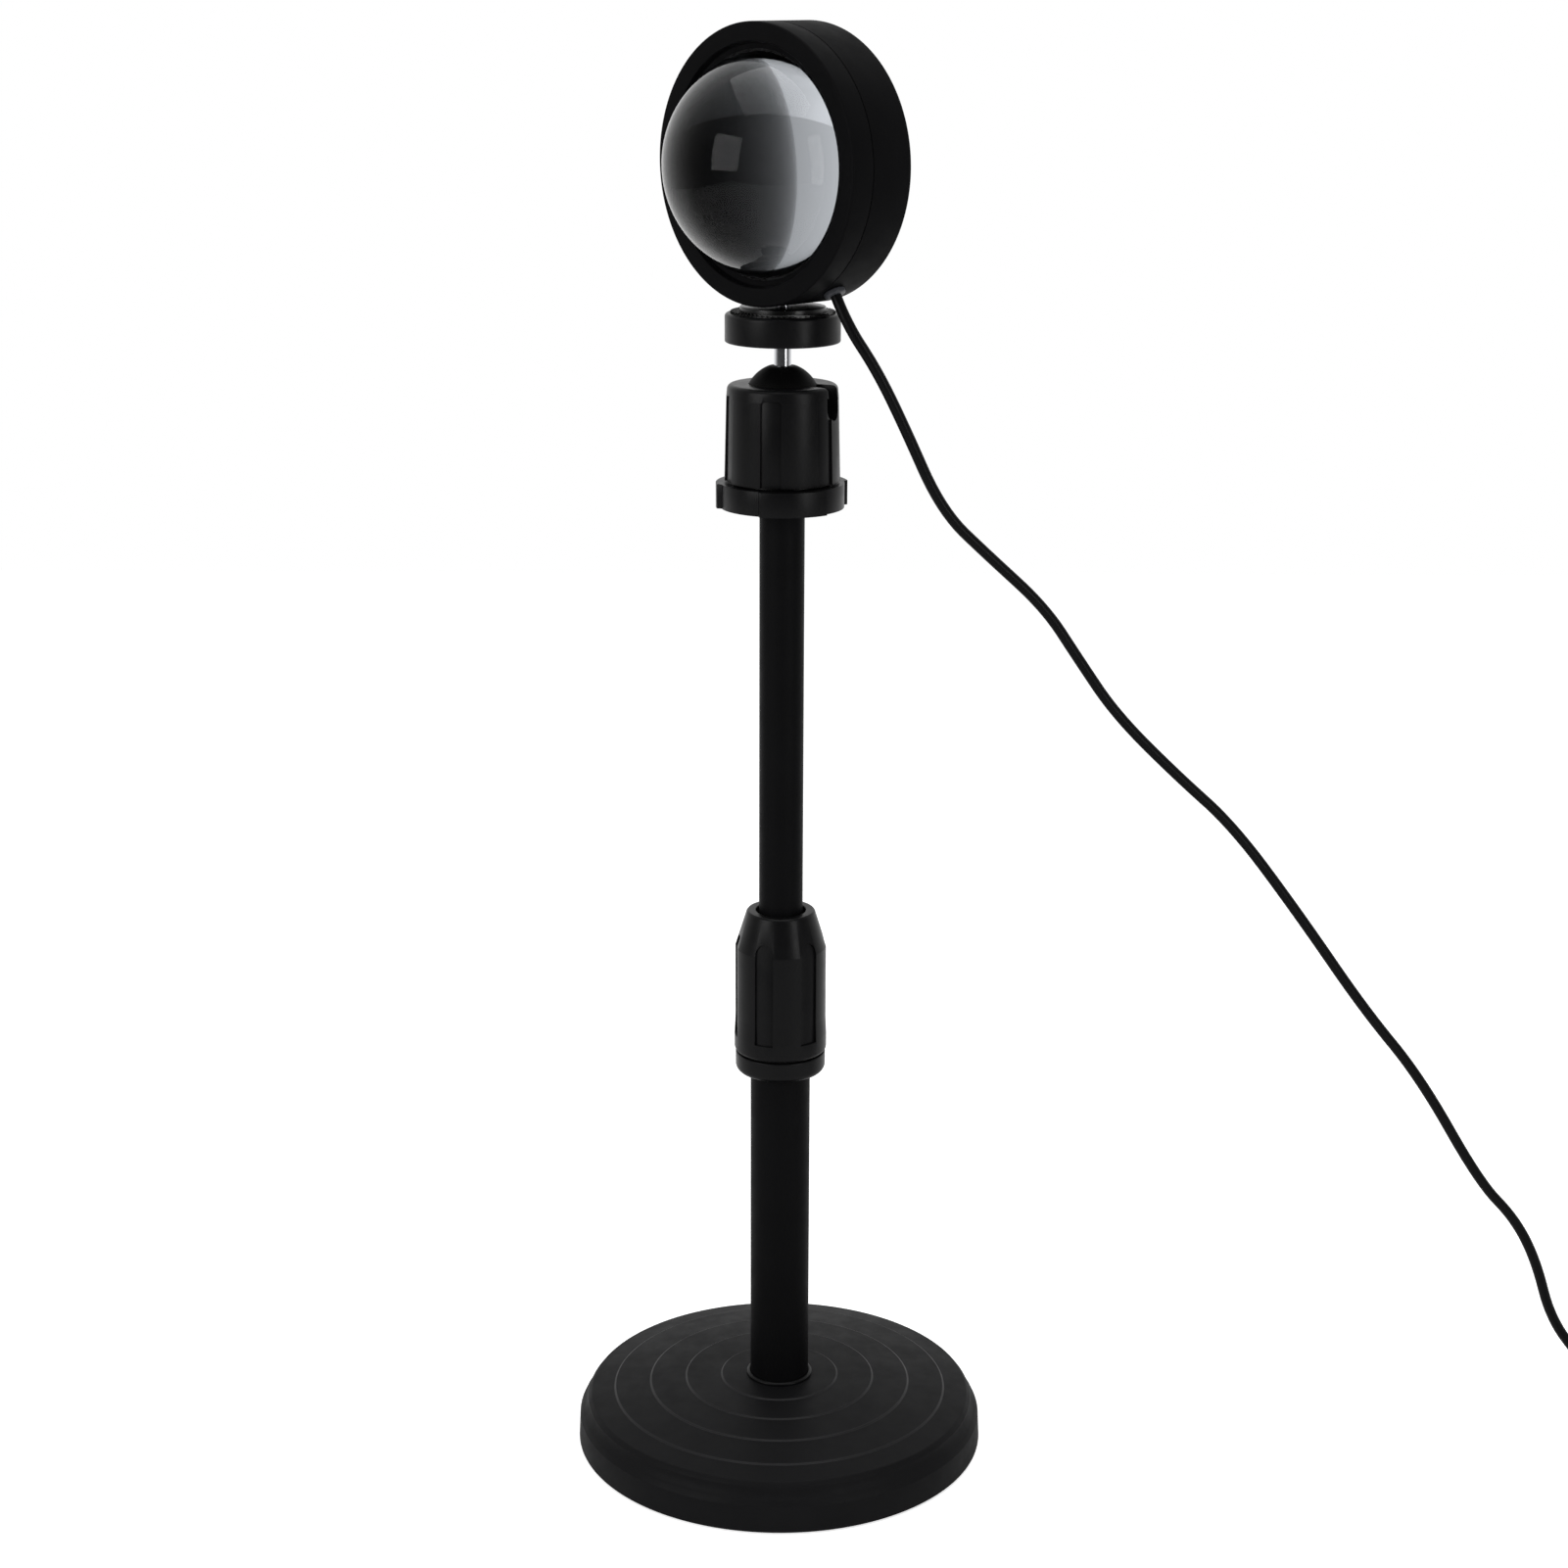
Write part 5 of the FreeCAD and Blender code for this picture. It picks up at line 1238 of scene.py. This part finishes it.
    def build(self, plug: Sequence[bpy.types.Object], tie: bpy.types.Object) -> None:
        """Makes the tube, cuts it into stretches, finishes each and puts the last one on the base.

        Args:
            plug: The pieces at the far end; not used.
            tie: The strap round the coil; not used.
        """
        line = self.line()
        bpy.context.view_layer.update()
        depsgraph = bpy.context.evaluated_depsgraph_get()
        shadow = bpy.data.meshes.new_from_object(line.evaluated_get(depsgraph))
        path = [v.co.copy() for v in shadow.vertices]
        line.data.bevel_depth = self.diameter / 2 * MM
        line.data.bevel_resolution = 4
        Shop.pick(line)
        bpy.ops.object.convert(target="MESH")
        tube = bpy.context.object
        ring = len(tube.data.vertices) // len(path)
        run = [0.0]
        for here, after in zip(path, path[1:]):
            run.append(run[-1] + (after - here).length / MM)
        nearest = [min(range(len(run)), key=lambda i: abs(run[i] - cut)) for cut in self.cuts]
        marks = [0] + nearest + [len(path) - 1]
        log.info("lead: %.0f mm, %d rings of %d", run[-1], len(path), ring)
        for k, (first, last) in enumerate(zip(marks, marks[1:])):
            piece = self.stretch(tube, f"lead_{k}", first * ring, (last + 1) * ring)
            self.palette.dress(piece, "lead_jacket")
            end = k == len(marks) - 2
            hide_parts(*(["lead_coil", "lead_tail"] if end else ["lead_free"] if k == 0 else []))
            if end:
                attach(piece, "base")
            else:
                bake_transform(piece)
        bpy.data.objects.remove(tube, do_unlink=True)
        bpy.data.meshes.remove(shadow)


@dataclass
class PlugEnd(SubAssembly):
    """The power plug and the strap round the coil.

    Attributes:
        x: Where the lead enters the plug's strain relief.
        y: The plug's middle line.
        level: The lead's level there.
        relief: How far the strain relief stands out of the moulding.
        relief_section: The ribbed strain relief along the lead, up into the moulding.
        hollow_wall: How much of the shell is left where it meets the moulding.
        latch_span: Both ends of a latch hole, from the moulding.
        latch_side: How far a latch hole is from the middle line.
        strap_inner: The strap's inner side, from the coil's middle.
        strap_outer: The strap's outer side.
    """

    x: float = 336.0
    y: float = -66.0
    level: float = 4.0
    relief: float = 9.0
    length: float = 24.0
    width: float = 15.6
    height: float = 8.0
    relief_section: Outline = ((1.98, 0), (2.25, 0, 0.2), (2.45, 2.0), (2.2, 2.1), (2.2, 2.9), (2.6, 3.0),
                               (2.75, 5.0), (2.4, 5.1), (2.4, 5.9), (2.95, 6.0), (3.2, 10.5), (1.98, 10.5))
    shell_length: float = 12.2
    shell_half: Point = (6.0, 2.25)
    shell_wall: float = 0.35
    hollow_wall: float = 0.3
    tool_spare: float = 0.8
    latch_span: Point = (7.0, 4.6)
    latch_side: float = 2.9
    latch_half: float = 1.15
    latch_reach: float = 4.0
    strap_inner: float = 13.35
    strap_outer: float = 32.85
    strap_half: float = 4.0
    strap_height: float = 9.8
    strap_corner: float = 1.2
    strap_wall: float = 0.6

    def build(self) -> None:
        """Makes the moulding with its strain relief, the pressed shell and the strap."""
        start = self.x - self.relief
        end = start - self.length
        body = Shop.block("plug_moulding", (end, self.y - self.width / 2, 0),
                          (start, self.y + self.width / 2, self.height))
        Shop.soften(body, 1.6, segments=5)
        relief = Shop.lathe("plug_relief_tool", rounded(self.relief_section), steps=48)
        Shop.move(relief, Matrix.Translation(Vector((self.x, self.y, self.level)) * MM)
                  @ Matrix.Rotation(math.radians(-90), 4, "Y"))
        Shop.join([body, relief])
        self.hand_over(body, "black_plastic", "plug_body")
        self.shell(end)
        self.strap()

    def shell(self, end: float) -> None:
        """Makes the pressed shell with its two latch holes.

        Args:
            end: Where the moulding ends.
        """
        wide, high = self.shell_half
        shell = Shop.block("plug_shell_pressing", (end - self.shell_length, self.y - wide, self.level - high),
                           (end, self.y + wide, self.level + high))
        wide, high = wide - self.shell_wall, high - self.shell_wall
        hollow = Shop.block("shell_hollow_tool", (end - self.shell_length - self.tool_spare, self.y - wide,
                                                  self.level - high),
                            (end - self.hollow_wall, self.y + wide, self.level + high))
        Shop.combine(shell, hollow)
        for side in (-1, 1):
            middle = self.y + side * self.latch_side
            latch = Shop.block("latch_tool", (end - self.latch_span[0], middle - self.latch_half,
                                              self.level - self.latch_reach),
                               (end - self.latch_span[1], middle + self.latch_half,
                                self.level + self.latch_reach))
            Shop.combine(shell, latch)
        Shop.soften(shell, 0.12, segments=2)
        self.hand_over(shell, "plated_shell", "plug_shell")

    def strap(self) -> None:
        """Makes the closed band round the turns, with rounded corners."""
        x, y = COIL_CENTRE
        band = Shop.block("coil_strap", (x - self.strap_outer, y - self.strap_half, 0),
                          (x - self.strap_inner, y + self.strap_half, self.strap_height))
        Shop.choose_edges(band, lambda a, b: abs(a.y - b.y) > self.strap_half * MM)
        bpy.ops.mesh.bevel(offset=self.strap_corner * MM, segments=5, affect="EDGES")
        Shop.clear()
        Shop.choose_faces(band, lambda f: abs(f.normal.y) > 0.9)
        bpy.ops.mesh.delete(type="FACE")
        Shop.clear()
        Shop.apply(band, "SOLIDIFY", thickness=self.strap_wall * MM, offset=-1)
        self.hand_over(band, "woven_strap", "coil_tie")


@dataclass(frozen=True)
class Softbox:
    """One area light, with its places and size in metres and its power in watts."""

    name: str
    place: Place
    aim: Place
    size: Point
    power: float


@dataclass
class Studio:
    """The floor, the backdrop, the lights and the camera.

    Attributes:
        distance: How far the camera stands in front of the pole, in metres.
        height: The camera's height, in metres.
        pitch: How far it looks down, in degrees.
        roll: How far it leans, in degrees.
        focal_px: Its focal length in pixels of the photograph.
        fill: Strength of the surround's soft light on the lamp.
        front_mirrored: How bright the front of the room is in metal and glass.
        mirrored_span: How far back the mirrored surround turns from dark to white, from -1 to 1.
        floor_size: The floor's side, in metres.
        paper: sRGB hex of the floor.
        floor_lift: What is added to the floor's own brightness where it is seen.
        floor_span: How far back, in metres, the mirrored floor turns to white.
        lights: The softboxes.
    """

    distance: float = 0.984
    height: float = 0.5388
    pitch: float = 15.98
    roll: float = -0.2
    focal_px: float = 2924.0
    fill: float = 0.30
    front_mirrored: float = 0.05
    mirrored_span: Point = (-0.55, 0.8)
    floor_size: float = 3.2
    paper: str = "#f4f4f4"
    floor_lift: float = 0.66
    floor_span: Point = (0.0, 0.6)
    lights: tuple[Softbox, ...] = (
        Softbox("overhead_box", (0.0, -0.1, 1.5), (0.0, 0.0, 0.2), (1.2, 1.2), 9.0),
        Softbox("left_window", (-1.22, -0.98, 0.82), (0.0, 0.0, 0.42), (0.85, 0.9), 12.0),
        Softbox("right_strip", (0.85, -0.9, 0.62), (0.0, 0.0, 0.42), (0.3, 1.0), 5.0),
    )

    def camera(self) -> None:
        """Places the camera at the photograph's viewpoint."""
        data = bpy.data.cameras.new("camera")
        data.sensor_width = 36.0
        data.sensor_fit = "HORIZONTAL"
        data.lens = self.focal_px / IMAGE_SIDE * data.sensor_width
        data.clip_end = 20
        camera = bpy.data.objects.new("camera", data)
        camera.location = (0, -self.distance, self.height)
        camera.rotation_euler = (math.radians(90 - self.pitch), math.radians(self.roll), 0)
        bpy.context.scene.collection.objects.link(camera)
        bpy.context.scene.camera = camera

    @staticmethod
    def rays(tree: bpy.types.NodeTree) -> tuple[bpy.types.NodeSocket, bpy.types.NodeSocket]:
        """What kind of ray arrives.

        Args:
            tree: The node tree.

        Returns:
            1 for a ray from the camera, and 1 for one that a surface mirrors or lets through.
        """
        kinds = add_node(tree, "ShaderNodeLightPath").outputs
        through = add_node(tree, "ShaderNodeMath", {0: kinds["Is Glossy Ray"], 1: kinds["Is Transmission Ray"]},
                           operation="MAXIMUM")
        return kinds["Is Camera Ray"], through.outputs[0]

    @staticmethod
    def backward(tree: bpy.types.NodeTree, output: str, span: Point, low: float = 0.0) -> bpy.types.NodeSocket:
        """A smooth rise to 1 with the distance backward.

        Args:
            tree: The node tree.
            output: Which texture coordinate gives the distance.
            span: Where the rise starts and ends.
            low: What it starts from.

        Returns:
            The strength.
        """
        place = add_node(tree, "ShaderNodeTexCoord").outputs[output]
        depth = add_node(tree, "ShaderNodeSeparateXYZ", {"Vector": place}).outputs["Y"]
        rise = add_node(tree, "ShaderNodeMapRange", {
            "Value": depth, "From Min": span[0], "From Max": span[1], "To Min": low, "To Max": 1.0},
            interpolation_type="SMOOTHSTEP")
        return rise.outputs["Result"]

    def surroundings(self) -> None:
        """A surround that is white to the camera, and to metal and glass white behind and dark in front."""
        world = bpy.data.worlds.new("studio")
        bpy.context.scene.world = world
        world.use_nodes = True
        tree = world.node_tree
        tree.nodes.clear()
        camera, through = self.rays(tree)
        mirrored = self.backward(tree, "Generated", self.mirrored_span, low=self.front_mirrored)
        unseen = add_node(tree, "ShaderNodeMix", {"Factor": through, "A": self.fill, "B": mirrored})
        strength = add_node(tree, "ShaderNodeMix", {
            "Factor": camera, "A": unseen.outputs["Result"], "B": 1.0})
        white = add_node(tree, "ShaderNodeBackground", {
            "Color": (1, 1, 1, 1), "Strength": strength.outputs["Result"]})
        add_node(tree, "ShaderNodeOutputWorld", {"Surface": white.outputs[0]})

    def floor(self) -> None:
        """A plain floor that takes the shadow. It is white to the camera, and in metal and glass only behind."""
        Shop.clear()
        bpy.ops.mesh.primitive_plane_add(size=self.floor_size)
        floor = bpy.context.object
        floor.name = "studio_floor"
        material = bpy.data.materials.new("white_paper_floor")
        material.use_nodes = True
        tree = material.node_tree
        tree.nodes.clear()
        camera, through = self.rays(tree)
        behind = self.backward(tree, "Object", self.floor_span)
        seen = add_node(tree, "ShaderNodeMath", {0: through, 1: behind}, operation="MULTIPLY").outputs[0]
        seen = add_node(tree, "ShaderNodeMath", {0: seen, 1: camera}, operation="MAXIMUM").outputs[0]
        lift = add_node(tree, "ShaderNodeMath", {0: seen, 1: self.floor_lift}, operation="MULTIPLY").outputs[0]
        paper = add_node(tree, "ShaderNodeBsdfDiffuse", {"Color": linear(self.paper)})
        glow = add_node(tree, "ShaderNodeEmission", {"Color": (1, 1, 1, 1), "Strength": lift})
        both = add_node(tree, "ShaderNodeAddShader", {0: paper.outputs[0], 1: glow.outputs[0]})
        add_node(tree, "ShaderNodeOutputMaterial", {"Surface": both.outputs[0]})
        floor.data.materials.append(material)

    def build(self) -> None:
        """Sets the whole studio."""
        scene = bpy.context.scene
        scene.view_settings.view_transform = "Standard"
        scene.view_settings.look = "None"
        self.camera()
        self.surroundings()
        self.floor()
        for light in self.lights:
            data = bpy.data.lights.new(light.name, "AREA")
            data.shape = "RECTANGLE"
            data.size, data.size_y = light.size
            data.energy = light.power
            lamp = bpy.data.objects.new(light.name, data)
            lamp.location = light.place
            aim = Vector(light.aim) - Vector(light.place)
            lamp.rotation_euler = aim.to_track_quat("-Z", "Y").to_euler()
            lamp.visible_transmission = False
            scene.collection.objects.link(lamp)


def main() -> None:
    """Dresses the lamp and sets the studio."""
    logging.basicConfig(level=logging.INFO, format="%(name)s: %(message)s")
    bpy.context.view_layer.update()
    palette = Palette()
    for entry in frame["record"]["subparts"]:
        palette.dress_node(entry["node"], entry["material_slot"])
    # The record's bare aluminium would shine through the lens, where the photograph shows only black.
    # So the ring is coloured near black, as painted shade for the dark inside of the head.
    palette.dress_node("lens_retainer", "retainer_painted_shade")
    Base(palette, "base").build()
    TwistCollar(palette, "collar").build()
    Mast(palette, "mast").build()
    Sleeve(palette, "sleeve").build()
    BallStud(palette, "ball_stud").build()
    Head(palette, "head").build()
    end = PlugEnd(palette, "base")
    end.build()
    Lead(palette).build(plug=end.made[:2], tie=end.made[2])
    Studio().build()


if __name__ == "__main__":
    main()
